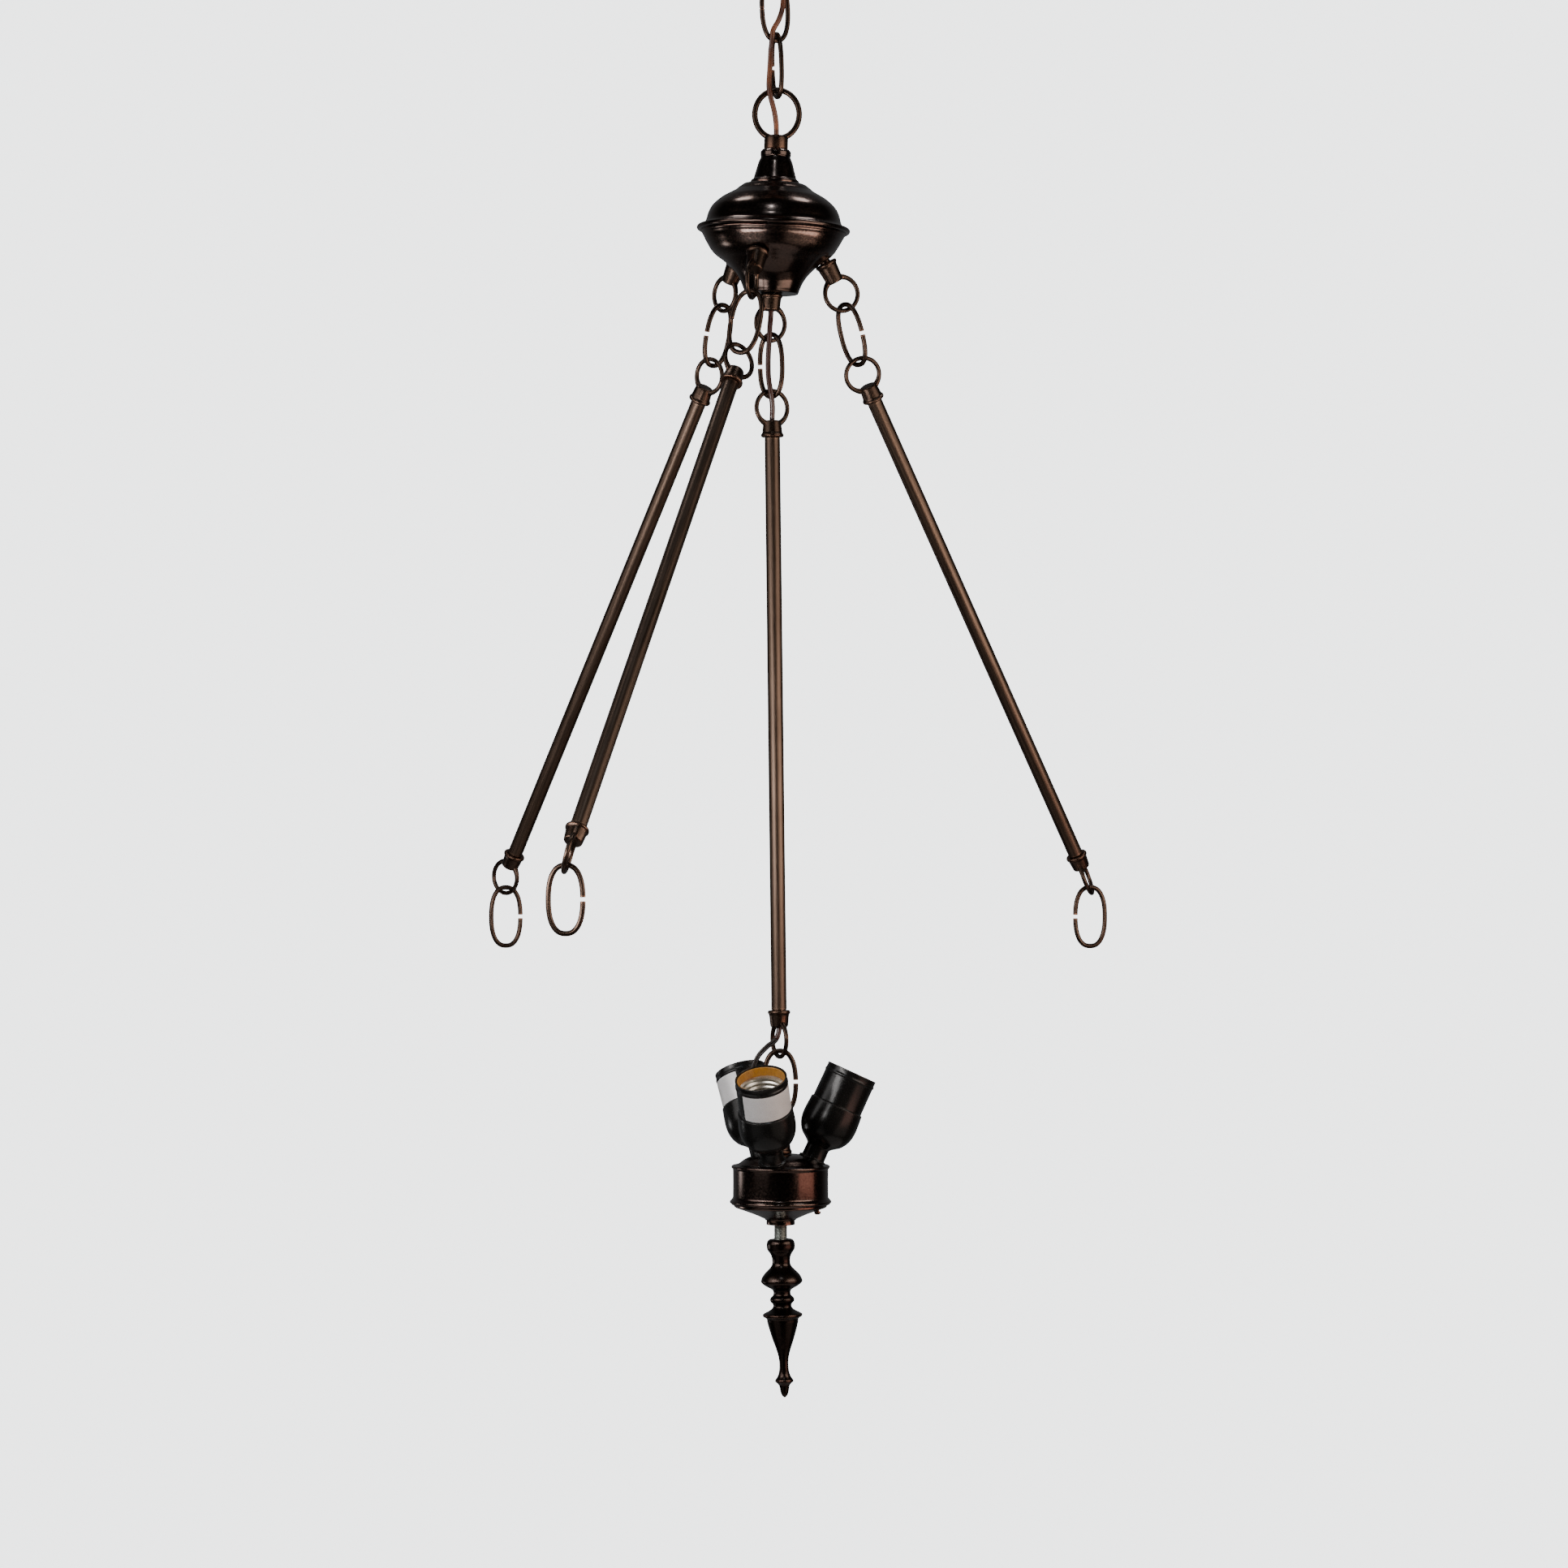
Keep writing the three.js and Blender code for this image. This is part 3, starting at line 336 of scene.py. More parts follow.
def tube(path, radius, sides=16, turn=0.0, offset=0.0):
    """A round section carried along a path, with domed ends.

    The section's first axis is the way to the back made square to the path, and its centre stands off the
    path by offset, turned round it by the angle turn. An end's dome is half as high as a half ball.
    """
    back = np.array([0, 1.0, 0])
    along = unit(np.gradient(path, axis=0))
    first = unit(back - along * (along @ back)[:, None])
    second = np.cross(along, first)
    turn = np.broadcast_to(turn, len(path))[:, None]
    centre = path + offset * (np.cos(turn) * first + np.sin(turn) * second)
    dome = np.radians([90, 60, 30])
    rise = radius * np.sin(dome)[:, None] / 2
    lines = np.vstack([centre[0] - along[0] * rise, centre, centre[-1] + along[-1] * rise[::-1]])
    sizes = radius * np.concatenate([np.cos(dome), np.ones(len(path)), np.cos(dome[::-1])])[:, None]
    keep = np.clip(np.arange(len(lines)) - len(dome), 0, len(path) - 1)
    angle = round_turn(sides)
    x, y = sizes * np.cos(angle), sizes * np.sin(angle)
    points = lines[:, None] + x[..., None] * first[keep][:, None] + y[..., None] * second[keep][:, None]
    own = np.stack([x, y, run_of(lines)[:, None] + 0 * angle], -1)
    return points, grid_faces(*x.shape), own


def ramp(tree, share, *stops):
    """A colour ramp's output for a share, from (position, colour) stops."""
    colour = part(tree, "ValToRGB", {"Fac": share})
    elements = colour.node.color_ramp.elements
    while len(elements) < len(stops):
        elements.new(0.5)
    for element, (position, tone) in zip(elements, stops):
        element.position = position
        element.color = (*tone, 1)
    return colour


# The jacket is lighter and more orange in long patches, with a fine grain. The leads are slightly dusty.
jacket, tree, look = shader("cord_jacket")
place = part(tree, "TexCoord", out="Object")
patches = part(tree, "TexNoise", {"Vector": place, "Scale": 38, "Detail": 2})
tones = ramp(
    tree, patches, (0.36, (0.07, 0.022, 0.012)), (0.52, (0.2, 0.066, 0.028)), (0.68, (0.42, 0.15, 0.07)),
)
height = part(tree, "SeparateXYZ", {"Vector": place}, "Z")
# Painted shade: below the cap the jacket's tone is mixed towards a dark brown, by height.
painted_shade = part(tree, "MapRange", {"Value": height, "From Min": shade_start_height, "From Max": full_shade_height})
shown = part(tree, "Mix", {"Factor": painted_shade, 6: tones, 7: (0.045, 0.013, 0.008, 1)}, 2, data_type="RGBA")
fine = part(tree, "TexNoise", {"Vector": place, "Scale": 900, "Detail": 3})
relief = part(tree, "Bump", {"Height": fine, "Strength": 0.25, "Distance": 0.0002})
plug(tree, look, {"Base Color": shown, "Normal": relief, "Roughness": 0.34, "Specular IOR Level": 0.6})

leads, tree, look = shader("cord_leads")
dust = part(tree, "TexNoise", {"Vector": part(tree, "TexCoord", out="Object"), "Scale": 220, "Detail": 4})
dusty = ramp(tree, dust, (0.4, (0.012, 0.01, 0.01)), (0.75, (0.05, 0.042, 0.038)))
plug(tree, look, {"Base Color": dusty, "Roughness": 0.42})


def cord_mesh(name, path):
    """The jacket as one tube down to where it is stripped, and from there two leads side by side.

    The leads turn round each other once in a lay of height, from lying side by side where they are stripped.
    """
    bare = path[:, 2] < strip_height
    sheets = [] if bare.all() else [tube(path[~bare], cord_radius)]
    jacketed = sum(len(s[1]) for s in sheets)
    if bare.any():
        bare_path = path[max(int(np.argmax(bare)) - lead_overlap, 0) :]
        twist = np.pi / 2 + 2 * np.pi * (bare_path[:, 2] - strip_height) / lead_lay
        for half_turn in (0, np.pi):
            sheets.append(tube(bare_path, lead_radius, 12, twist + half_turn, lead_radius))
    piece = made(name, sheets, 60)
    piece.data.materials.append(jacket)
    piece.data.materials.append(leads)
    for face in piece.data.polygons:
        face.material_index = int(face.index >= jacketed)
    return piece


# The cap's axis starts in the wire at the hanging loop's top, the stem's where its upper loop is seated.
cap_axis_start, stem_axis_start, drum_seat_depth = -35.3, -0.3, 7
cap_line, stem_line, threaded_line = (line_of(node) for node in ("cap_tie_rod", "stem", "threaded_rod"))
cap_axis = down(cap_line, cap_axis_start), cap_line[1]
stem_axis = down(stem_line, stem_axis_start), stem_line[1]
hook_top = np.array([0, 0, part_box("canopy_loop")[1].z])
drum_seat = down(threaded_line, drum_seat_depth)
cord_hole_out, cord_hole_azimuth = 14.5, math.radians(192)
cord_hole = drum_seat + cord_hole_out * at(math.cos(cord_hole_azimuth), math.sin(cord_hole_azimuth), 0)

# Each stretch: the bodies above and below it, the heights between which it bends, and the points it passes.
cord_runs = {
    "supply_cord_top": ("ceiling_fitting", "upper_link", -56, -97, [
        at(0, 0, -1.2), at(0, 0, -24), hook_top + at(0, 0, -8), at(0.3, -0.1, -54), at(2.4, -0.5, -63),
        at(5.4, -1, -72), at(6.8, -1.4, -81), at(6.8, -2, -90),
    ]),
    "supply_cord_middle": ("upper_link", "lower_link", -99, -137, [
        at(6.2, -2.8, -98), at(3.6, -5.5, -107), at(-0.5, -6.7, -115), at(-1.3, -6.3, -122),
        at(-2.2, -4, -130),
    ]),
    "supply_cord_bottom": ("lower_link", "cap", -140, -184, [
        at(-2.6, -4.1, -138.4), at(-3.2, -4.5, -147), at(-3.5, -4.9, -155), at(-2.3, -4.9, -162),
        at(0.3, -3.2, -172), at(1.6, -1, -180.5), down(cap_axis, 32), down(cap_axis, 50),
    ]),
    "hub_cord": ("cap", "center_link", -316, -352, [
        down(cap_axis, 92), down(cap_axis, 130), down(cap_axis, 150), at(-2.2, -0.6, -318),
        at(-2.8, -3.6, -326), at(-3.2, -5.2, -334), at(-3.8, -4.6, -344),
    ]),
    "stem_cord_upper": ("center_link", "stem", -355, -391, [
        at(-4.1, -3.6, -353.7), at(-3.6, -4.7, -364), at(-2.2, -5.4, -373), at(-1, -3.1, -383),
        down(stem_axis, -12), down(stem_axis, 10),
    ]),
    "stem_cord_lower": ("stem", "cluster_link", -829, -865, [
        down(stem_axis, 204.5), down(stem_axis, 399), down(stem_axis, 422.5), at(1.4, -1.4, -835),
        at(-4.4, -3.4, -839.5), at(-11, -4, -846.5), at(-15, -3.6, -856),
    ]),
    "cluster_cord": ("cluster_link", "cluster", -868, -912, [
        at(-15.8, -3, -866.5), at(-15, -2.8, -880), at(-11.5, -2.9, -897), cord_hole + at(0, 0, 6),
        cord_hole + at(0, 0, -5),
    ]),
}
passed = np.array([point for run in cord_runs.values() for point in run[-1]])
whole_route = through(passed, steps_per_point)
first = 0
for name, (above, below, top, foot, points) in cord_runs.items():
    last = min(first + len(points), len(passed) - 1)
    path = whole_route[first * steps_per_point : last * steps_per_point + 1]
    cord = cord_mesh(name + "_jacket", path)
    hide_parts(name)
    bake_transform(cord)
    first = last


# Ceiling fitting: a slotted steel strap screwed to the ceiling box, a threaded pipe held in it by a nut,
# and on the pipe a spun canopy, the knurled collar that holds it up, and a cast loop for the chain. The
# strap, pipe and nut are zinc-plated, the canopy is bronze-plated sheet, the collar and the loop are cast.
pipe_radius, pipe_bore, pipe_chamfer, pipe_hole = 4.75, 3.1, 0.5, 5.05
thread_pitch, thread_depth = 0.94, 0.42
wall_steps, sheet_wall = 3, 1.2
strap_length, strap_width, strap_thickness = 104, 22, 2.5
slot_centre, slot_length, slot_width = 36, 18, 5


def lie_of(point, way, near=(1, 0, 0)):
    """A frame on an axis: its origin, and three unit rows: a side square to the way, across both, the way."""
    way, near = unit(np.asarray(way, float)), np.asarray(near, float)
    side = unit(near - way * (way @ near))
    return np.asarray(point, float), np.array([side, np.cross(way, side), way])


def placed(points, lie):
    """Millimetre points given in a frame's own side, across and depth, in the lamp's frame."""
    return lie[0] + points @ lie[1] * mm


def eased(corners, steps=4):
    """A profile with rounded corners, from (radius, depth, ease) rows.

    A corner becomes the curve (1-t)^2 a + 2t(1-t) corner + t^2 b, where a lies short of it by its ease on
    the line from the corner before, and b as far past it on the line to the next.
    """
    spots = np.array([c[:2] for c in corners], float)
    profile = [spots[:1]]
    t = np.linspace(0, 1, steps + 1)[:, None]
    for k in range(1, len(corners) - 1):
        before, after = spots[k - 1] - spots[k], spots[k + 1] - spots[k]
        reach = min(corners[k][2], 0.48 * np.hypot(*before), 0.48 * np.hypot(*after))
        a = spots[k] + before / np.hypot(*before) * reach
        b = spots[k] + after / np.hypot(*after) * reach
        curve = (1 - t) ** 2 * a + 2 * t * (1 - t) * spots[k] + t**2 * b
        profile.append(curve if reach > 0 else spots[k : k + 1])
    return np.vstack([*profile, spots[-1:]])


def arc(centre, radius, start, end, steps):
    """Part of a circle in a profile, between two angles in degrees from the radius outwards, turning up."""
    angle = np.radians(np.linspace(start, end, steps + 1))
    return np.stack([centre[0] + radius * np.cos(angle), centre[1] - radius * np.sin(angle)], 1)


def walled(outline, wall):
    """A closed profile of sheet metal: an outline, and back along it at the wall's distance to its left,
    there with fewer rows."""
    along = np.gradient(outline, axis=0)
    along /= np.hypot(*along.T)[:, None]
    inner = outline + wall * np.stack([-along[:, 1], along[:, 0]], 1)
    return np.vstack([outline, inner[::-wall_steps], inner[:1]])


def turned(profile, lie, columns, closed=False, swell=None):
    """A profile of (radius, depth) rows turned round a frame's axis.

    Row i, column j is (r cos a, r sin a, d) with a = 2 pi j / columns. A closed profile joins its ends.
    swell(a, r, d) gives the radius where the piece isn't round.
    """
    radius, depth = np.asarray(profile, float).T[:, :, None]
    angle = round_turn(columns)[None, :]
    if swell:
        radius = swell(angle, radius, depth)
    own = np.stack([radius * np.cos(angle), radius * np.sin(angle), depth + 0 * angle], -1)
    return placed(own, lie), grid_faces(len(profile), columns, round_rows=closed), own * mm


def joined(piece, other, operation):
    """A piece with a second solid joined to it or cut out of it. The second one is used up."""
    change = piece.modifiers.new(operation, "BOOLEAN")
    change.operation = operation
    change.solver = "MANIFOLD"
    change.object = other
    bpy.context.view_layer.update()
    result = bpy.data.meshes.new_from_object(piece.evaluated_get(bpy.context.evaluated_depsgraph_get()))
    piece.modifiers.clear()
    piece.data = result
    bpy.data.objects.remove(other)
    return finished(piece)


def drilled(piece, lie, radius, top, foot, columns=40):
    """A piece with a round hole cut out of it between two depths on a frame's axis."""
    pin = turned([(0, top), (radius, top), (radius, foot), (0, foot)], lie, columns)
    return joined(piece, made("hole", [pin]), "DIFFERENCE")


def patina_group():
    """A node group for metal, paint and paper: broad clouds and fine specks of noise choose between a dark
    and a light tone, and the worn share lets the bare metal through. It also puts out a roughness, which
    goes from smooth to rough with the specks, and the specks as a height for fine bumps."""
    group = bpy.data.node_groups.new("patina", "ShaderNodeTree")
    tones, amounts = "Dark Light Bare", "CloudScale GrainScale Stretch Wear Smooth Rough"
    for names, way, kind in (
        (tones, "INPUT", "Color"), (amounts, "INPUT", "Float"), ("Color", "OUTPUT", "Color"),
        ("Roughness Height", "OUTPUT", "Float"),
    ):
        for name in names.split():
            group.interface.new_socket(name, in_out=way, socket_type="NodeSocket" + kind)
    given = group.nodes.new("NodeGroupInput").outputs
    place = part(group, "TexCoord", out="Object")
    own = part(group, "Attribute", out="Vector", attribute_name="own_place")
    worn = part(group, "Attribute", out="Fac", attribute_name="worn")
    squeeze = part(group, "CombineXYZ", {"X": 1, "Y": 1, "Z": given["Stretch"]})
    drawn = part(group, "VectorMath", {0: own, 1: squeeze}, operation="MULTIPLY")
    clouds = part(group, "TexNoise", {
        "Vector": place, "Scale": given["CloudScale"], "Detail": 4, "Roughness": 0.6,
    })
    grain = part(group, "TexNoise", {
        "Vector": drawn, "Scale": given["GrainScale"], "Detail": 5, "Roughness": 0.65,
    })
    specks = part(group, "MapRange", {"Value": grain, "From Min": 0.3, "From Max": 0.7})
    both = part(group, "Math", {0: clouds, 1: 0.9, 2: specks}, operation="MULTIPLY_ADD")
    lightness = part(group, "MapRange", {"Value": both, "From Min": 0.35, "From Max": 1.35})
    tone = part(group, "Mix", {"Factor": lightness, 6: given["Dark"], 7: given["Light"]}, 2, data_type="RGBA")
    rubbed = part(group, "Math", {0: worn, 1: specks}, operation="MULTIPLY")
    share = part(group, "Math", {0: rubbed, 1: given["Wear"]}, operation="MULTIPLY", use_clamp=True)
    shown = part(group, "Mix", {"Factor": share, 6: tone, 7: given["Bare"]}, 2, data_type="RGBA")
    gloss = part(group, "MapRange", {"Value": specks, "To Min": given["Smooth"], "To Max": given["Rough"]})
    plug(group, group.nodes.new("NodeGroupOutput"), {"Color": shown, "Roughness": gloss, "Height": specks})
    return group


patina = patina_group()


def metal(name, slot, dark, light, bare, clouds, grain, smooth, rough, bump, stretch=1, wear=1.0,
          metallic=1.0, coat=0.0, specular=0.5):
    """A finish from the patina group, with its record slot: its tones, noise scales per metre, roughness
    range, bump, stretch along the piece's axis and wear."""
    material, tree, look = shader(name)
    mixed = tree.nodes.new("ShaderNodeGroup")
    mixed.node_tree = patina
    plug(tree, mixed, {
        "Dark": (*dark, 1), "Light": (*light, 1), "Bare": (*bare, 1), "CloudScale": clouds,
        "GrainScale": grain, "Stretch": stretch, "Wear": wear, "Smooth": smooth, "Rough": rough,
    })
    relief = part(tree, "Bump", {"Height": mixed.outputs["Height"], "Strength": bump, "Distance": 0.0001})
    plug(tree, look, {
        "Base Color": mixed.outputs["Color"], "Roughness": mixed.outputs["Roughness"], "Normal": relief,
        "Metallic": metallic, "Coat Weight": coat, "Coat Roughness": 0.18, "Specular IOR Level": specular,
    })
    return material, slot


spun_bronze = metal(
    "spun_bronze", "dark_bronze", (0.045, 0.030, 0.026), (0.11, 0.075, 0.062), (0.45, 0.24, 0.18),
    clouds=28, grain=700, smooth=0.13, rough=0.26, bump=0.05, coat=0.15,
)
cast_bronze = metal(
    "cast_bronze", "bronze", (0.026, 0.018, 0.014), (0.085, 0.055, 0.041), (0.56, 0.27, 0.17),
    clouds=70, grain=1100, smooth=0.26, rough=0.4, bump=0.12, wear=1.5,
)
zinc_plate = metal(
    "zinc_plate", "zinc_steel", (0.24, 0.27, 0.25), (0.50, 0.53, 0.50), (0.62, 0.64, 0.62),
    clouds=90, grain=1500, smooth=0.3, rough=0.5, bump=0.1, wear=0.5,
)


def dressed(piece, finish, *replaced, body=None):
    """A piece with its finish, standing for its nodes or riding on a body."""
    material, slot = finish
    piece.data.materials.clear()
    piece.data.materials.append(material)
    if replaced:
        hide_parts(*replaced)
    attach(piece, body or nodes[replaced[0]]["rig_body"])
    return piece


def spun(name, finish, node, lie, profile, columns, closed=True, swell=None, smooth_angle=35):
    """A dressed piece that is one profile turned round an axis, in the place of its node."""
    return dressed(made(name, [turned(profile, lie, columns, closed, swell)], smooth_angle), finish, node)


def plate(lie, length, width, corner, top, foot, centre=0, edge=0.3, steps=8, bend=None):
    """A flat bar with rounded corners, closed above and below, with eased edges.

    Its outline is a stadium-like ring of quarter circles; each row is that ring, drawn in by an inset.
    bend(x, y) gives the depth that is added where the bar is bent.
    """
    turn = np.linspace(0, np.pi / 2, steps + 1)
    angle = np.concatenate([turn + k * np.pi / 2 for k in range(4)])
    quarter = np.repeat([[1, 1], [-1, 1], [-1, -1], [1, -1]], steps + 1, axis=0)
    middle = quarter * (length / 2 - corner, width / 2 - corner) + (centre, 0)
    rim = np.stack([np.cos(angle), np.sin(angle)], 1)
    inset = np.array([-corner, -edge, 0, 0, -edge, -corner])
    flat = middle[None] + (corner + inset)[:, None, None] * rim[None]
    heart = np.repeat(np.array([[centre, 0.0]]), len(angle), 0)[None]
    flat = np.concatenate([heart, flat, heart])
    depth = np.array([top, top, top, top + edge, foot - edge, foot, foot, foot])
    own = np.concatenate([flat, np.broadcast_to(depth[:, None, None], (*flat.shape[:2], 1))], -1)
    if bend:
        own[..., 2] += bend(own[..., 0], own[..., 1])
    return placed(own, lie), grid_faces(*own.shape[:2]), own * mm


def hex_nut(name, node, lie, across, hole, top, foot, columns):
    """A hexagonal nut: a hole with eased mouths, and corners chamfered on both faces.

    A radius is cut back to a flat's distance, which is the apothem / cos of the angle to the flat's middle.
    """
    corner, flat, slope = across / math.sqrt(3), across / 2, 0.35
    profile = [
        (hole, top + slope), (hole + slope, top), (flat, top), (corner, top + slope * 1.6),
        (corner, foot - slope * 1.6), (flat, foot), (hole + slope, foot), (hole, foot - slope),
    ]

    def six_sided(a, r, d):
        return np.minimum(r, flat / np.cos((a + np.pi / 6) % (np.pi / 3) - np.pi / 6))

    return spun(name, zinc_plate, node, lie, profile, columns, swell=six_sided)


def pipe(name, node, lie, top, foot, rows_per_turn, columns):
    """A zinc-plated pipe with a thread down its outside, chamfered ends and a plain bore.

    Rows at the outer radius sink by the thread's depth, along a triangle wave of the depth down the axis
    over the pitch, less the turn.
    """
    rows = np.arange(top + 0.5, foot - 0.5, thread_pitch / rows_per_turn)
    outside = np.stack([np.full(len(rows), pipe_radius), rows], 1)
    end = pipe_radius - pipe_chamfer
    profile = np.vstack([outside, [(end, foot), (pipe_bore, foot), (pipe_bore, top), (end, top)]])

    def thread(a, r, d):
        wave = np.abs((d / thread_pitch - a / (2 * np.pi)) % 1 - 0.5) * 2
        return np.where(r > pipe_radius - 1e-6, r - thread_depth * wave, r + 0 * a)

    return spun(name, zinc_plate, node, lie, profile, columns, swell=thread)


ceiling = lie_of((0, 0, 0), (0, 0, -1))
slot_corner = slot_width / 2 - 0.01
strap = made("mounting_strap_plate", [plate(ceiling, strap_length, strap_width, 3, 0, strap_thickness)])
for side in (-1, 1):
    slot = plate(ceiling, slot_length, slot_width, slot_corner, -1, strap_thickness + 1, side * slot_centre)
    strap = joined(strap, made("strap_slot", [slot]), "DIFFERENCE")
dressed(drilled(strap, ceiling, pipe_hole, -1, 4, 48), zinc_plate, "mounting_strap")
hex_nut("strap_locknut_hex", "strap_locknut", ceiling, 14, pipe_hole, 2.8, 6.0, 72)
pipe("canopy_nipple_pipe", "canopy_nipple", ceiling, 0.5, 46.2, 6, 32)

# Canopy: a spun dish with a rolled rim, 130 mm across and 32 mm deep, with a flat seat for its collar.
canopy_outline = np.vstack([
    arc((64.2, 1.0), 0.8, 90, -60, 6),
    through([(63.9, 3.2), (62.6, 4.6), (57, 13), (49.5, 18.6), (40, 22.5), (30.5, 25), (22, 28),
             (17.4, 30.4)], 8),
    [(15.6, 31.6), (13.5, 32), (pipe_hole, 32)],
])
spun("canopy_dish", spun_bronze, "canopy", ceiling, walled(canopy_outline, sheet_wall), 128)

# Collar: a turned ring with a knurled grip, screwed up the pipe to hold the canopy.
grip_radius, grip_ribs, grip_depth = 10.5, 54, 0.35
collar_profile = [
    (pipe_hole, 32.3), (9.4, 32.3), (10.2, 32.9), (10.2, 33.5), (grip_radius, 33.8), (grip_radius, 37.4),
    (10.2, 37.7), (10.2, 38.3), (9.4, 38.9), (pipe_hole, 38.9),
]


def knurled(a, r, d):
    """The grip's radius: rows at its full radius sink by its depth times a sine's size round the turn."""
    return np.where(r > grip_radius - 1e-6, r - grip_depth * np.abs(np.sin(grip_ribs * a / 2)), r + 0 * a)


spun("screw_collar_knurled", cast_bronze, "screw_collar", ceiling, collar_profile, 216, swell=knurled)


# Cast loops: a ring on a neck, in one casting of bronze-plated zinc. Two large ones hold the chain's ends
# and are screwed on the pipes; small ones are screwed into the rods' ends, the cap and the cluster. Each
# kind is cast once here, in its own frame, with its seat at the origin, and then set where its node is.

# A neck is rows of (radius, depth, ease). A ring is its radius, its wire's, its centre's depth, how much the
# wire thickens at the neck, over what angle, and half the ring's height where it is an oval.
cord_way, shank_radius = 2.6, 3.9
hook_end, lug_end, ceiling_seat = 17, 20, -39.2
hook_neck = [(0, 0, 0), (8.55, 0, 0.5), (8.55, 8.7, 0.9), (7.2, 9.6, 0.6), (0, 9.6, 0)]
hook_ring = (15.85, 2.1, 24.9, 0.3, 0.5, 17.4)
collar_steps = [(8.1, 0.7, 0.5), (8.1, 2, 0.5), (7.5, 2.6, 0.3), (7.15, 3.4, 0.5)]
neck_top = [*collar_steps, (6.3, 11.9, 1.3), (0, 11.9, 0)]
small_neck = [(0, 0, 0), (7.5, 0, 0.3), *neck_top]
rod_neck = [(0, -9, 0), (4.2, -9, 0.5), (4.2, 0, 0), (7.5, 0, 0.3), *neck_top]
lug_neck = [
    (0, -10, 0), (shank_radius, -10, 0.5), (shank_radius, 0, 0), (7.5, 0, 0.3), *collar_steps,
    (6.1, 15.9, 1.3), (0, 15.9, 0),
]
small_ring, lug_ring = ((12.25, 1.65, centre, 1.0, 0.62) for centre in (20.9, 24.9))


def ring_sheet(radius, wire, centre, thickening, spread, tall=None, columns=20, rows=72):
    """A round or oval ring in the side-depth plane whose wire thickens towards the neck.

    Its centre line is x = radius sin f, depth = centre - tall cos f; the wire's circle lies across it, and
    the wire's radius is wire + thickening * exp(-(f / spread)^2).
    """
    tall = tall or radius
    f = np.linspace(-np.pi, np.pi, rows, endpoint=False)[:, None]
    s = round_turn(columns)[None, :]
    thick = wire + thickening * np.exp(-((f / spread) ** 2))
    slant = np.hypot(tall * np.sin(f), radius * np.cos(f))
    own = np.stack([
        radius * np.sin(f) + thick * np.cos(s) * tall * np.sin(f) / slant,
        thick * np.sin(s) + 0 * f,
        centre - tall * np.cos(f) - thick * np.cos(s) * radius * np.cos(f) / slant,
    ], -1)
    grain = np.stack([thick * np.cos(s), thick * np.sin(s), radius * f + 0 * s], -1)
    return own * mm, grid_faces(rows, columns, round_rows=True), grain * mm


def cast_loop(name, neck, ring, *holes):
    """The mesh of a neck of (radius, depth, ease) corners joined to a ring, with its holes cut out, each
    given by its radius, top and foot."""
    base = np.zeros(3), np.eye(3)
    loop = made(name, [turned(eased(neck), base, 56)])
    loop = joined(loop, made("ring", [ring_sheet(*ring)]), "UNION")
    for hole in holes:
        loop = drilled(loop, base, *hole, 32)
    mesh = loop.data
    bpy.data.objects.remove(loop)
    return mesh


def ring_way(node, seat, way, beyond):
    """The way across a loop's ring, square to its neck: the widest spread of the corners past the neck."""
    points = corners_of(node) - seat
    points = points[points @ way > beyond * mm]
    points -= np.outer(points @ way, way)
    return spreads(points)[0]


def set_loop(master, node, seat, way, beyond=16):
    """A copy of a cast loop on its seat, its ring in the plane of the node's, which lies beyond a depth."""
    lie = lie_of(seat, way, ring_way(node, seat, np.asarray(way, float), beyond))
    mesh = master.copy()
    place = placed(rows_of(mesh.vertices, "co") / mm, lie)
    mesh.vertices.foreach_set("co", place.ravel().astype(np.float32))
    mesh.update()
    return dressed(in_scene(node + "_cast", mesh), cast_bronze, node)


pipe_seat = (pipe_hole, -1, 8)
large_loop = cast_loop("large_loop", hook_neck, hook_ring, pipe_seat, (cord_way, -1, 15))
rod_loop = cast_loop("rod_loop", rod_neck, small_ring)
corded_loop = cast_loop("corded_loop", rod_neck, small_ring, (cord_way, -10, 13))
hub_hole_loop = cast_loop("hub_hole_loop", small_neck, small_ring, pipe_seat, (cord_way, -1, 13))
blind_loop = cast_loop("blind_loop", small_neck, small_ring, pipe_seat)
lug_loop = cast_loop("lug_loop", lug_neck, lug_ring)

set_loop(large_loop, "canopy_loop", at(0, 0, ceiling_seat), (0, 0, -1), hook_end)


# Chain links: ovals of round bronze-plated steel wire, bent round until the sawn ends almost meet in the
# middle of one long side. Each hangs in the one above, turned a quarter. The upper one is bent shut.
link_wire, link_chamfer = 1.8, 0.3
fine_steps, tangent_reach = 2000, 0.6
link_half_width, link_half_length, link_squareness = 11.2, 22.2, 2.4
link_butt, shut_butt = 2.6, 0.3


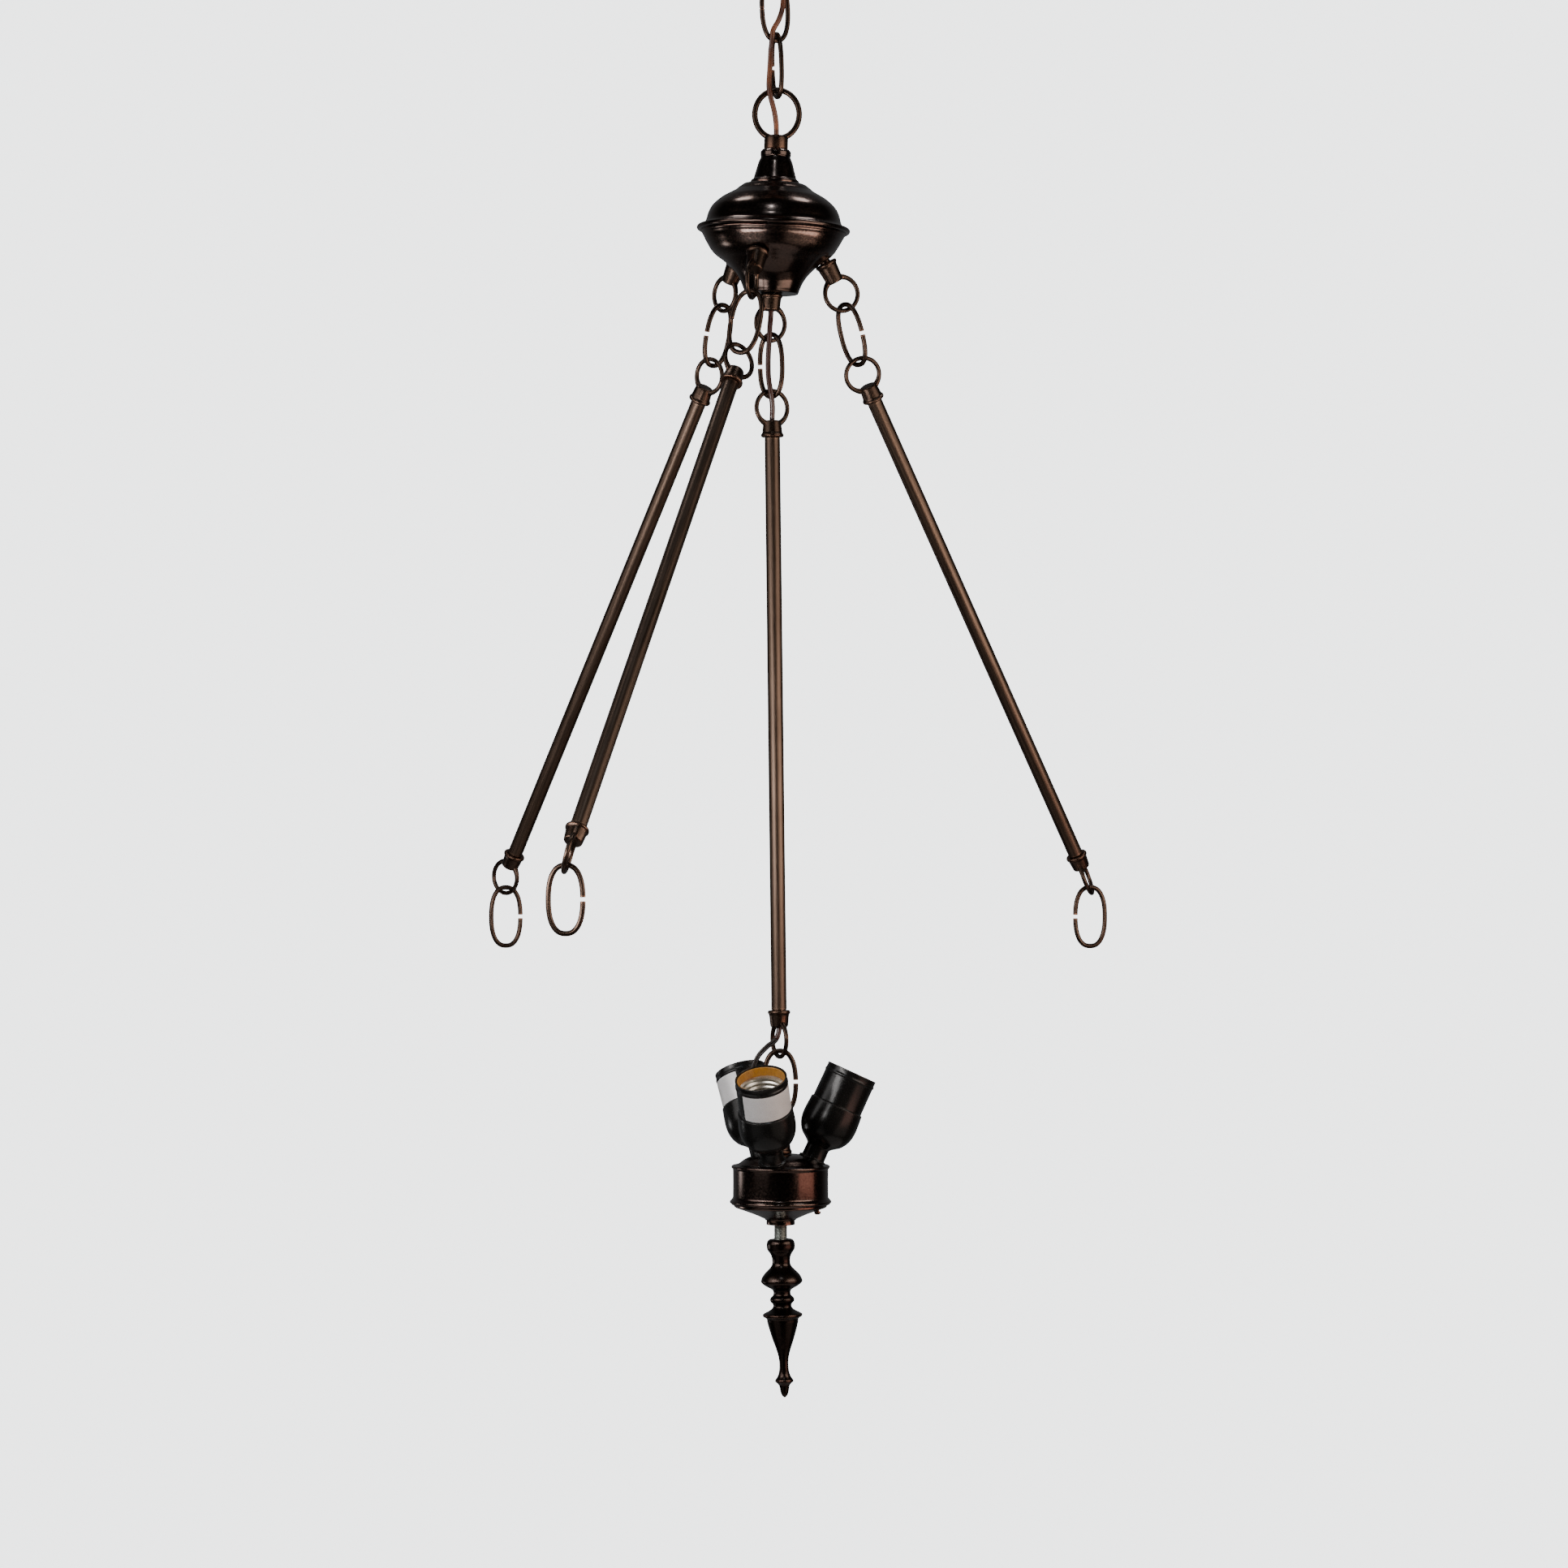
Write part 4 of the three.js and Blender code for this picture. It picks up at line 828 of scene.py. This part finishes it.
def link_sheet(butt, columns=18, rows=150):
    """A link's wire in its own frame, its butt on the side's positive end.

    The centre line is x = w sgn(cos a) |cos a|^(2/n), z = l sgn(sin a) |sin a|^(2/n), an oval a little
    squarer than an ellipse; the wire's section is carried along it square to it, and its ends are flat and
    chamfered.
    """
    power = 2 / link_squareness
    half = math.asin((butt / 2 / link_half_length) ** (1 / power))
    a = half + np.linspace(0, 1, fine_steps) * 2 * (math.pi - half)
    fine = np.stack([
        link_half_width * np.sign(np.cos(a)) * np.abs(np.cos(a)) ** power, 0 * a,
        link_half_length * np.sign(np.sin(a)) * np.abs(np.sin(a)) ** power,
    ], 1)
    run = run_of(fine)
    at_run = np.linspace(0, run[-1], rows)
    at_run = np.concatenate([[0, 0, link_chamfer], at_run[2:-2], [run[-1] - link_chamfer], [run[-1]] * 2])
    behind, line, ahead = (
        np.stack([np.interp(at_run + step, run, fine[:, k]) for k in range(3)], 1)
        for step in (-tangent_reach, 0, tangent_reach)
    )
    along = unit(ahead - behind)
    across = np.array([0, 1, 0])
    out = np.cross(across, along)
    size = np.full((len(at_run), 1), link_wire)
    size[[0, -1]] = 0
    size[[1, -2]] = link_wire - link_chamfer
    s = round_turn(columns)
    x, y = size * np.cos(s), size * np.sin(s)
    own = line[:, None] + x[..., None] * out[:, None] + y[..., None] * across
    grain = np.stack([x, y, at_run[:, None] + 0 * s], -1)
    return own, grid_faces(*x.shape), grain * mm


for node in (
    "chain_link_upper", "chain_link_lower", "arm_link_right", "arm_link_left", "arm_link_front",
    "end_link_right", "end_link_left", "end_link_front", "center_link", "cluster_link",
):
    # The link's length and width are its node's widest spreads, and its butt is on the side to which the mean
    # of the corners leans, where both wire ends add theirs.
    corners = corners_of(node)
    way, side, _ = spreads(corners)
    normal = np.cross(way, side)
    reach = [(corners @ d).max() + (corners @ d).min() for d in (way, side)]
    middle = way * reach[0] / 2 + side * reach[1] / 2 + normal * (corners @ normal).mean()
    side = -side if (corners.mean(0) - middle) @ side < 0 else side
    points, faces, grain = link_sheet(shut_butt if node == "chain_link_upper" else link_butt)
    link = made(node + "_wire", [(placed(points, lie_of(middle, way, side)), faces, grain)])
    dressed(link, cast_bronze, node)


# Cap: an onion of spun sheet in two halves on the threaded pipe that carries everything. From the top: the
# loop that hangs in the chain, a cast neck, the dome with its rolled rim, and the bowl that closes it from
# below, whose flat foot takes the hub loop and whose wall takes the arms' three loops.
hanging_seat, hub_seat = 42.3, 145.9
cap = lie_of(*cap_axis)
set_loop(large_loop, "hanging_loop", down(cap_axis, hanging_seat), -cap_axis[1], hook_end)

# The neck's profile comes back to its first row, which is counted once.
neck_profile = np.vstack([
    eased([(pipe_hole, 67.3, 0), (pipe_hole, 42.6, 0.2), (9.5, 42.6, 0.5), (10.9, 44.4, 0.6), (10.9, 47, 0.6),
           (10.5, 48, 0.3), (10.9, 49, 0.2)]),
    through([(11.15, 49.6), (12.1, 51.8), (13.4, 56.3), (14.5, 60.4), (15.2, 62.9)], 6),
    eased([(15.4, 63.6, 0), (17.1, 64.9, 0.7), (17.4, 65.6, 0.4), (17.4, 67.3, 0.3), (pipe_hole, 67.3, 0)]),
])
spun("cap_neck_cast", spun_bronze, "cap_neck", cap, neck_profile[:-1], 96)

dome_outline = np.vstack([
    [(pipe_hole, 67.6), (12, 67.6)],
    eased([(18, 67.6, 0), (22.0, 67.6, 0.8), (23.3, 68.4, 0.3), (24.2, 69.2, 0)]),
    through([(25.75, 70.2), (27.75, 72.0), (32.2, 74.6), (36.7, 77.1), (39.6, 79.3), (42.6, 82.0),
             (44.8, 84.6), (46.3, 87.4), (47.3, 90.2), (48.1, 93.2)], 6),
    [(48.8, 95.3), (49.9, 96.9), (51.4, 97.9)],
])
rim_bead = arc((53.1, 99.7), 1.75, 100, -110, 14)
dome_inner = walled(dome_outline, sheet_wall)[len(dome_outline) + 1 : -1]
dome_profile = np.vstack([dome_outline, rim_bead, [(51.6, 100.9), (50.4, 99.0)], dome_inner])
spun("cap_dome_spun", spun_bronze, "cap_dome", cap, dome_profile, 144)

bowl_outline = np.vstack([
    eased([(50.6, 101.9, 0), (51.6, 102.0, 0.3), (51.5, 102.9, 0.3), (50.9, 103.6, 0)]),
    through([(50.7, 104.2), (49.7, 105.8), (48.7, 107.9), (46.9, 111), (44.5, 114.9), (42, 117.7),
             (38.9, 120.2), (35.4, 122.6), (32.7, 124.8), (30.2, 127.2), (27.8, 129.7), (25.4, 132.4),
             (23.6, 135), (22.1, 137.6), (21, 140.2), (20.1, 142.4)], 5),
    eased([(19.7, 143.6, 0), (19.2, 145.6, 0.9), (10, 145.6, 0), (pipe_hole, 145.6, 0)]),
])
bowl = made("cap_bowl_spun", [turned(walled(bowl_outline, sheet_wall), cap, 144, closed=True)])
lug_azimuths = {"right": 17.1, "left": 130.1, "front": 254.9}
lug_radius, lug_drop, lug_tilt, lug_stand_off, lug_hole = 39, 119.8, math.radians(31), 1.3, 4.2
lug_nut_across, lug_nut_top, lug_nut_foot = 12, -7.9, -4.7
lug_lies = {}
for side, azimuth in lug_azimuths.items():
    a = math.radians(azimuth)
    outward = np.array([math.cos(a), -math.sin(a), 0]) @ cap[1]
    lug_way = math.sin(lug_tilt) * outward + math.cos(lug_tilt) * cap[1][2]
    seat = down(cap_axis, lug_drop) + (lug_radius * outward + lug_stand_off * lug_way) * mm
    lug_lies[side] = lie_of(seat, lug_way)
    bowl = drilled(bowl, lug_lies[side], lug_hole, -7, 5)


def with_painted_shade(name, finish, start, full, shade_tone):
    """A copy of a finish whose tone goes to a painted shade, by the piece's own depth from start to full."""
    material = finish[0].copy()
    material.name = name
    tree = material.node_tree
    look = tree.nodes["Principled BSDF"]
    tone = look.inputs["Base Color"].links[0].from_socket
    own = part(tree, "Attribute", out="Vector", attribute_name="own_place")
    depth = part(tree, "SeparateXYZ", {"Vector": own}, "Z")
    share = part(tree, "MapRange", {"Value": depth, "From Min": start * mm, "From Max": full * mm})
    plug(tree, look, {
        "Base Color": part(tree, "Mix", {"Factor": share, 6: tone, 7: (*shade_tone, 1)}, 2, data_type="RGBA"),
    })
    return material, finish[1]


# The bowl's lower wall and foot are painted darker: painted shade that dims their reflections.
dressed(bowl, with_painted_shade("bowl_bronze", spun_bronze, 124, 140, (0.022, 0.014, 0.011)), "cap_bowl")

pipe("cap_tie_rod_threaded", "cap_tie_rod", lie_of(*cap_line[:2]), 0, cap_line[2] / mm, 4, 24)
for side, lie in lug_lies.items():
    set_loop(lug_loop, f"cap_loop_{side}", lie[0], lie[1][2], lug_end)
    nut = f"cap_locknut_{side}"
    hex_nut(nut + "_hex", nut, lie, lug_nut_across, lug_hole, lug_nut_top, lug_nut_foot, 60)
set_loop(hub_hole_loop, "hub_loop", down(cap_axis, hub_seat), cap_axis[1])


# Arms and stem: drawn bronze-plated tubes, 11 mm across with a thin wall, brushed along their length, and a
# screwed loop in each end. The stem hangs straight and carries the cord, the arms hang splayed.
rod_radius, rod_bore, rod_chamfer, chamfer_depth, loop_gap = 5.5, 4.6, 0.3, 0.35, 0.3
rod_bronze = metal(
    "rod_bronze", "rod_bronze", (0.055, 0.037, 0.027), (0.12, 0.081, 0.061), (0.55, 0.34, 0.24),
    clouds=22, grain=900, smooth=0.34, rough=0.44, bump=0.06, stretch=0.02, wear=0.8,
)
for node, upper, lower, master in (
    *((f"arm_rod_{side}", f"arm_top_loop_{side}", f"arm_bottom_loop_{side}", rod_loop) for side in lug_lies),
    ("stem", "stem_top_loop", "stem_bottom_loop", corded_loop),
):
    line = line_of(node)
    top, way, length = line
    long = length / mm
    rows = np.linspace(2, long - 2, 40)
    rod_profile = np.vstack([
        [(rod_bore, long), (rod_bore, 0), (rod_radius - rod_chamfer, 0), (rod_radius, chamfer_depth)],
        np.stack([np.full(len(rows), rod_radius), rows], 1),
        [(rod_radius, long - chamfer_depth), (rod_radius - rod_chamfer, long)],
    ])
    spun(node + "_tube", rod_bronze, node, lie_of(top, way), rod_profile, 48)
    set_loop(master, upper, down(line, -loop_gap), -way)
    set_loop(master, lower, down(line, long + loop_gap), way)


# Cluster: a spun drum with a rolled upper and lower rim, closed from below by a shallow cover that the
# threaded rod's nut and one side screw hold. It hangs by the loop on the same rod.
drum_wall = 1.1
cluster = lie_of(drum_seat, (0, 0, -1))
set_loop(blind_loop, "cluster_loop", drum_seat, (0, 0, 1))

drum_outline = np.vstack([
    [(pipe_hole, 0.3)],
    through([(10, 0.3), (15, 0.75), (20, 1.75), (25, 3.5), (28.2, 5.7), (30.4, 7.2), (32.8, 8.1)], 6),
    arc((34.1, 9.4), 1.15, 95, -60, 9),
    eased([(34.3, 10.8, 0), (34.1, 11.6, 0.4), (34.0, 20, 0), (34.1, 31.4, 1.2), (35.4, 32.9, 0.6)]),
    arc((35.2, 34.3), 1.15, 60, -80, 9),
    [(35.0, 36.2), (34.2, 36.2)],
])
drum = made("cluster_body_drum", [turned(walled(drum_outline, drum_wall), cluster, 144, closed=True)])
socket_places = {"right": (6, 24.8), "left": (124, 26), "front": (255, 26.5)}
socket_foot_radius, socket_foot_drop = 23.5, 2.8
socket_lies = {}
for side, (azimuth, lean) in socket_places.items():
    a, tilt = math.radians(azimuth), math.radians(lean)
    outward = np.array([math.cos(a), math.sin(a), 0])
    seat = drum_seat + (socket_foot_radius * outward - (0, 0, socket_foot_drop)) * mm
    socket_lies[side] = lie_of(seat, math.sin(tilt) * outward + (0, 0, math.cos(tilt)), outward)
    drum = drilled(drum, socket_lies[side], pipe_hole, -12, 12)
drum = drilled(drum, lie_of(cord_hole, (0, 0, -1)), cord_way, -5, 8, 32)
dressed(drum, spun_bronze, "cluster_body")

cover_outline = np.vstack([
    [(pipe_hole, 47.5)],
    eased([(9, 47.5, 0), (11, 47.5, 0.6), (11.4, 46.6, 0.3), (14.4, 45.2, 1.5), (20, 42.8, 2),
           (30.3, 39.1, 1), (32.4, 38.4, 0.5), (33.2, 37.7, 0.4), (33.2, 36.5, 0)]),
])[::-1]
cover = made("cluster_cover_spun", [turned(walled(cover_outline, drum_wall), cluster, 144, closed=True)])
screw_out, screw_azimuth, screw_hole = 30, math.radians(29), 1.7
screw_spot = np.array([screw_out * math.cos(screw_azimuth), screw_out * math.sin(screw_azimuth), 0])
screw_lie = lie_of(placed(screw_spot, cluster), (0, 0, -1))
dressed(drilled(cover, screw_lie, screw_hole, 30, 44, 28), spun_bronze, "cluster_cover")

screw = made("cover_screw_slotted", [turned(eased([
    (0, 31.5, 0), (1.1, 31.5, 0.3), (1.4, 32.2, 0.2), (1.4, 40.1, 0), (2.4, 40.1, 0.2), (2.4, 41.4, 0.8),
    (1.4, 42.3, 0.6), (0, 42.3, 0),
]), screw_lie, 40)])
slot = made("screw_slot", [plate(screw_lie, 6, 0.6, 0.2, 41.6, 43.5, edge=0.05, steps=3)])
dressed(joined(screw, slot, "DIFFERENCE"), cast_bronze, "cover_screw")


def ring_section(*corners):
    """A closed profile with eased corners, which starts in the middle of a straight side."""
    return eased([*corners, corners[0]])[:-1]


nut_ring = ring_section(
    (10.2, 49.3, 0), (10.2, 50.8, 0.5), (pipe_hole, 50.8, 0.2), (pipe_hole, 47.8, 0.2), (10.2, 47.8, 0.5),
)
spun("cover_nut_ring", spun_bronze, "cover_nut", cluster, nut_ring, 80)
pipe("threaded_rod_zinc", "threaded_rod", lie_of(*threaded_line[:2]), 0, threaded_line[2] / mm, 8, 40)


# Finial: one turned and blackened piece, screwed on the rod's end, which stands a little askew: a button, a
# cove, a bulb, a bead, a sharp disc, a long taper and a small knob.
finial_drop, finial_lean = 61.1, math.radians(1.5)
blackened_bronze = metal(
    "blackened_bronze", "dark_bronze", (0.016, 0.011, 0.009), (0.044, 0.029, 0.024), (0.40, 0.21, 0.15),
    clouds=40, grain=800, smooth=0.2, rough=0.34, bump=0.05, coat=0.1,
)
finial_top = placed(np.array([0, 0, finial_drop]), cluster)
finial = lie_of(finial_top, (math.sin(finial_lean), 0, -math.cos(finial_lean)))
finial_profile = np.vstack([
    eased([(0, 13, 0), (5.45, 13, 0), (5.45, 0.4, 0), (5.9, 0, 0.2), (8.0, 0, 0.4), (9.3, 0.9, 0.5),
           (9.9, 2.3, 0)]),
    through([(10.1, 3.4), (10.1, 5.4), (9.7, 7.4), (8.2, 9.6), (7.0, 11.9), (6.4, 15.4), (6.6, 17.8),
             (7.7, 19.9), (9.6, 21.9), (11.9, 24.2), (13.7, 26.6), (14.8, 29.2), (14.8, 30.4), (13.6, 31.9),
             (11.2, 33.6), (8.0, 35.4), (6.5, 36.6), (6.1, 38.4), (6.4, 40.0)], 6),
    through([(7.0, 40.6), (8.3, 41.9), (8.75, 43.3), (8.3, 44.7), (7.1, 45.9), (6.55, 47.0), (6.6, 48.2),
             (7.6, 49.6), (9.8, 51.2), (12.6, 52.6), (13.8, 53.3)], 5),
    eased([(13.9, 53.35, 0), (14.3, 54.0, 0.4), (13.9, 55.2, 0.3), (12.2, 56.1, 0.5), (11.3, 57.2, 0.4),
           (11.2, 58.6, 0)]),
    through([(11.05, 59.4), (10.3, 62.5), (9.2, 66.4), (8.0, 70.4), (6.6, 74.6), (5.2, 78.6), (4.1, 82.4),
             (3.45, 86.0), (3.25, 89.4), (3.4, 92.6), (3.9, 95.8), (4.9, 98.4), (6.1, 100.1)], 5),
    through([(6.6, 100.8), (6.55, 101.7), (5.2, 103.0), (4.0, 104.3), (3.5, 105.8), (3.2, 107.8),
             (2.6, 110.2), (1.5, 112.3), (0, 113.4)], 5),
])
spun("finial_turned", blackened_bronze, "finial", finial, finial_profile, 96, closed=False, smooth_angle=50)


# Sockets: three lamp holders that lean outwards on short pipes. Each has a black enamelled cup with a shell
# pushed into it, an amber fibre liner, an aluminium screw shell with a rolled thread, and a moulded base
# with a springy brass contact. A plain pale paper band is stuck round part of each shell.
band_radius, band_low, band_high, band_thick = 18.5, 41.4, 60.7, 0.2
band_spans = {"right": (12, 128), "left": (18, 134), "front": (-34, 112)}
thread_low, thread_high, rolled_pitch, rolled_depth, rolled_fade = 37.1, 58.1, 3.63, 0.55, 1.5
thread_outside, thread_inside, thread_between = 14.65, 14.3, (14, 14.8)
contact_depth, contact_rise, contact_end, contact_dish = 35.5, 0.16, 8, 0.012

black_enamel = metal(
    "black_enamel", "black_shell", (0.003, 0.003, 0.003), (0.008, 0.008, 0.0075), (0.09, 0.085, 0.08),
    clouds=120, grain=1300, smooth=0.16, rough=0.3, bump=0.15, wear=0.5, metallic=0.0, specular=0.3,
)
aluminium = metal(
    "rolled_aluminium", "socket_insert", (0.50, 0.48, 0.43), (0.72, 0.70, 0.64), (0.85, 0.84, 0.80),
    clouds=160, grain=1600, smooth=0.24, rough=0.42, bump=0.12, wear=0.6,
)
brass = metal(
    "contact_brass", "socket_insert", (0.42, 0.29, 0.12), (0.68, 0.50, 0.24), (0.86, 0.70, 0.40),
    clouds=200, grain=1800, smooth=0.22, rough=0.4, bump=0.1, wear=0.7,
)
amber_fibre = metal(
    "amber_fibre", "socket_insert", (0.25, 0.09, 0.006), (0.46, 0.19, 0.016), (0.60, 0.33, 0.06),
    clouds=140, grain=2200, smooth=0.35, rough=0.6, bump=0.3, stretch=0.15, wear=0.6, metallic=0, coat=0.3,
)
moulded_base = metal(
    "moulded_base", "socket_insert", (0.50, 0.46, 0.38), (0.66, 0.62, 0.54), (0.74, 0.70, 0.62),
    clouds=150, grain=2000, smooth=0.35, rough=0.55, bump=0.15, wear=0.3, metallic=0.0,
)
pale_paper = metal(
    "pale_paper", "socket_insert", (0.62, 0.61, 0.61), (0.82, 0.81, 0.81), (0.85, 0.84, 0.83),
    clouds=110, grain=1500, smooth=0.3, rough=0.5, bump=0.2, wear=0.6, metallic=0.15, coat=0.2,
)

holder_profile = np.vstack([
    eased([(0, -4, 0), (10.2, -4, 0.1), (10.2, -0.7, 0.5), (8.5, -0.2, 0.4), (8.35, 8.5, 1.0),
           (10.6, 10.4, 0.9)]),
    through([(11.9, 11.4), (14.6, 13.4), (17.0, 16.3), (18.9, 20.0), (20.0, 24.3), (20.3, 28.6),
             (20.15, 33.1), (19.8, 37.3)], 6),
    eased([(19.7, 38.4, 0), (19.6, 40.4, 0.3), (18.55, 41.0, 0.3), (18.4, 61.0, 0.2), (18.85, 61.6, 0.4),
           (18.85, 62.7, 0.4), (18.4, 63.3, 0.3), (18.4, 66.0, 0.2)]),
    arc((18.0, 66.6), 0.5, 0, -100, 6),
    [(17.5, 66.1), (17.55, 42.1), (18.9, 37.1), (19.5, 29.1), (19.0, 23.1), (17.2, 17.7), (14.4, 14.3),
     (10.5, 11.7), (0, 10.7)],
])
# The drum's crown as a solid block, by which the sockets' feet are cut to its shape.
crown_block = [
    (0, 0), (10, 0), (15, 0.45), (20, 1.45), (25, 3.2), (28.2, 5.4), (30.4, 6.9), (34, 8.2), (34, 20),
    (0, 20),
]
shank_profile = eased([(0, -7, 0), (pipe_radius, -7, 0.4), (pipe_radius, 3, 0), (0, 3, 0)])
thread_rows = np.linspace(thread_low, thread_high, 57)
screw_wall = np.vstack([
    np.stack([0 * thread_rows + thread_outside, thread_rows], 1),
    [(14.9, 58.6), (16.2, 59.2), (16.2, 59.6), (14.6, 59.1)],
    np.stack([0 * thread_rows + thread_inside, thread_rows[::-1]], 1),
])
liner_section = ring_section(
    (17.15, 44, 0), (17.15, 66.1, 0.35), (16.35, 66.1, 0.35), (16.35, 28.1, 0.1), (17.15, 28.1, 0.1),
)
base_section = ring_section(
    (2.4, 32, 0), (2.4, 28.3, 0.2), (16.1, 28.3, 0.4), (16.1, 35.7, 0.6), (13.6, 36.3, 0.8),
    (7.5, 36.3, 0.8), (6.9, 35.1, 0.4), (2.4, 35.1, 0.3),
)


def rolled_thread(a, r, d):
    """A rolled lamp thread: wall rows swing by its depth along a cosine of the height over the pitch, less
    the turn, fading out at both ends."""
    fade = np.clip((d - thread_low) / rolled_fade, 0, 1) * np.clip((thread_high - d) / rolled_fade, 0, 1)
    wave = rolled_depth * fade * np.cos(2 * np.pi * (d / rolled_pitch - a / (2 * np.pi)))
    return np.where((r > thread_between[0]) & (r < thread_between[1]), r + wave, r + 0 * a)


def contact_bend(x, y):
    """The depth of a springy contact: it rises along its length and is dished across."""
    return contact_depth + contact_rise * (contact_end - x) + contact_dish * y**2


def band_sheet(lie, start, end):
    """A band stuck on a shell: a thin rounded section at angles from start to end, closed at both of them
    by drawing the section in to its middle."""
    outer, middle_height = band_radius + band_thick, (band_low + band_high) / 2
    section = eased([
        (band_radius, band_low, 0), (outer, band_low, 0.1), (outer, band_high, 0.1),
        (band_radius, band_high, 0), (band_radius, middle_height, 0),
    ], 2)
    rows = np.linspace(0, 1, 9)[1:-1, None]
    front = np.hstack([outer + 0 * rows, band_low + (band_high - band_low) * rows])
    section = np.vstack([section[:2], front, section[-3:]])
    angle = np.radians(np.concatenate([[start], np.linspace(start, end, 60), [end]]))
    size = np.ones(len(angle))
    size[[0, -1]] = 0
    middle = np.array([band_radius + band_thick / 2, middle_height])
    shape = middle + size[None, :, None] * (section[:, None] - middle)
    own = np.stack([shape[..., 0] * np.cos(angle), shape[..., 0] * np.sin(angle), shape[..., 1]], -1)
    return placed(own, lie), grid_faces(*own.shape[:2], round_rows=True, round_columns=False), own * mm


for side, lie in socket_lies.items():
    holder = made(f"socket_{side}_shell", [turned(holder_profile, lie, 96)])
    holder = joined(holder, made("crown", [turned(crown_block, cluster, 96)]), "DIFFERENCE")
    holder = joined(holder, made("shank", [turned(shank_profile, lie, 40)]), "UNION")
    dressed(drilled(holder, lie, cord_way, -8, 13, 32), black_enamel, f"socket_{side}")
    insert = f"socket_insert_{side}"
    spun(f"socket_{side}_screw_shell", aluminium, insert, lie, screw_wall, 96, swell=rolled_thread)
    for name, finish, sheet in (
        ("liner", amber_fibre, turned(liner_section, lie, 96, closed=True)),
        ("base", moulded_base, turned(base_section, lie, 64, closed=True)),
        ("contact", brass, plate(lie, 11, 4.2, 1.6, 0, 0.5, centre=2.5, edge=0.1, bend=contact_bend)),
        ("band", pale_paper, band_sheet(lie, *band_spans[side])),
    ):
        dressed(made(f"socket_{side}_{name}", [sheet]), finish, body="cluster")
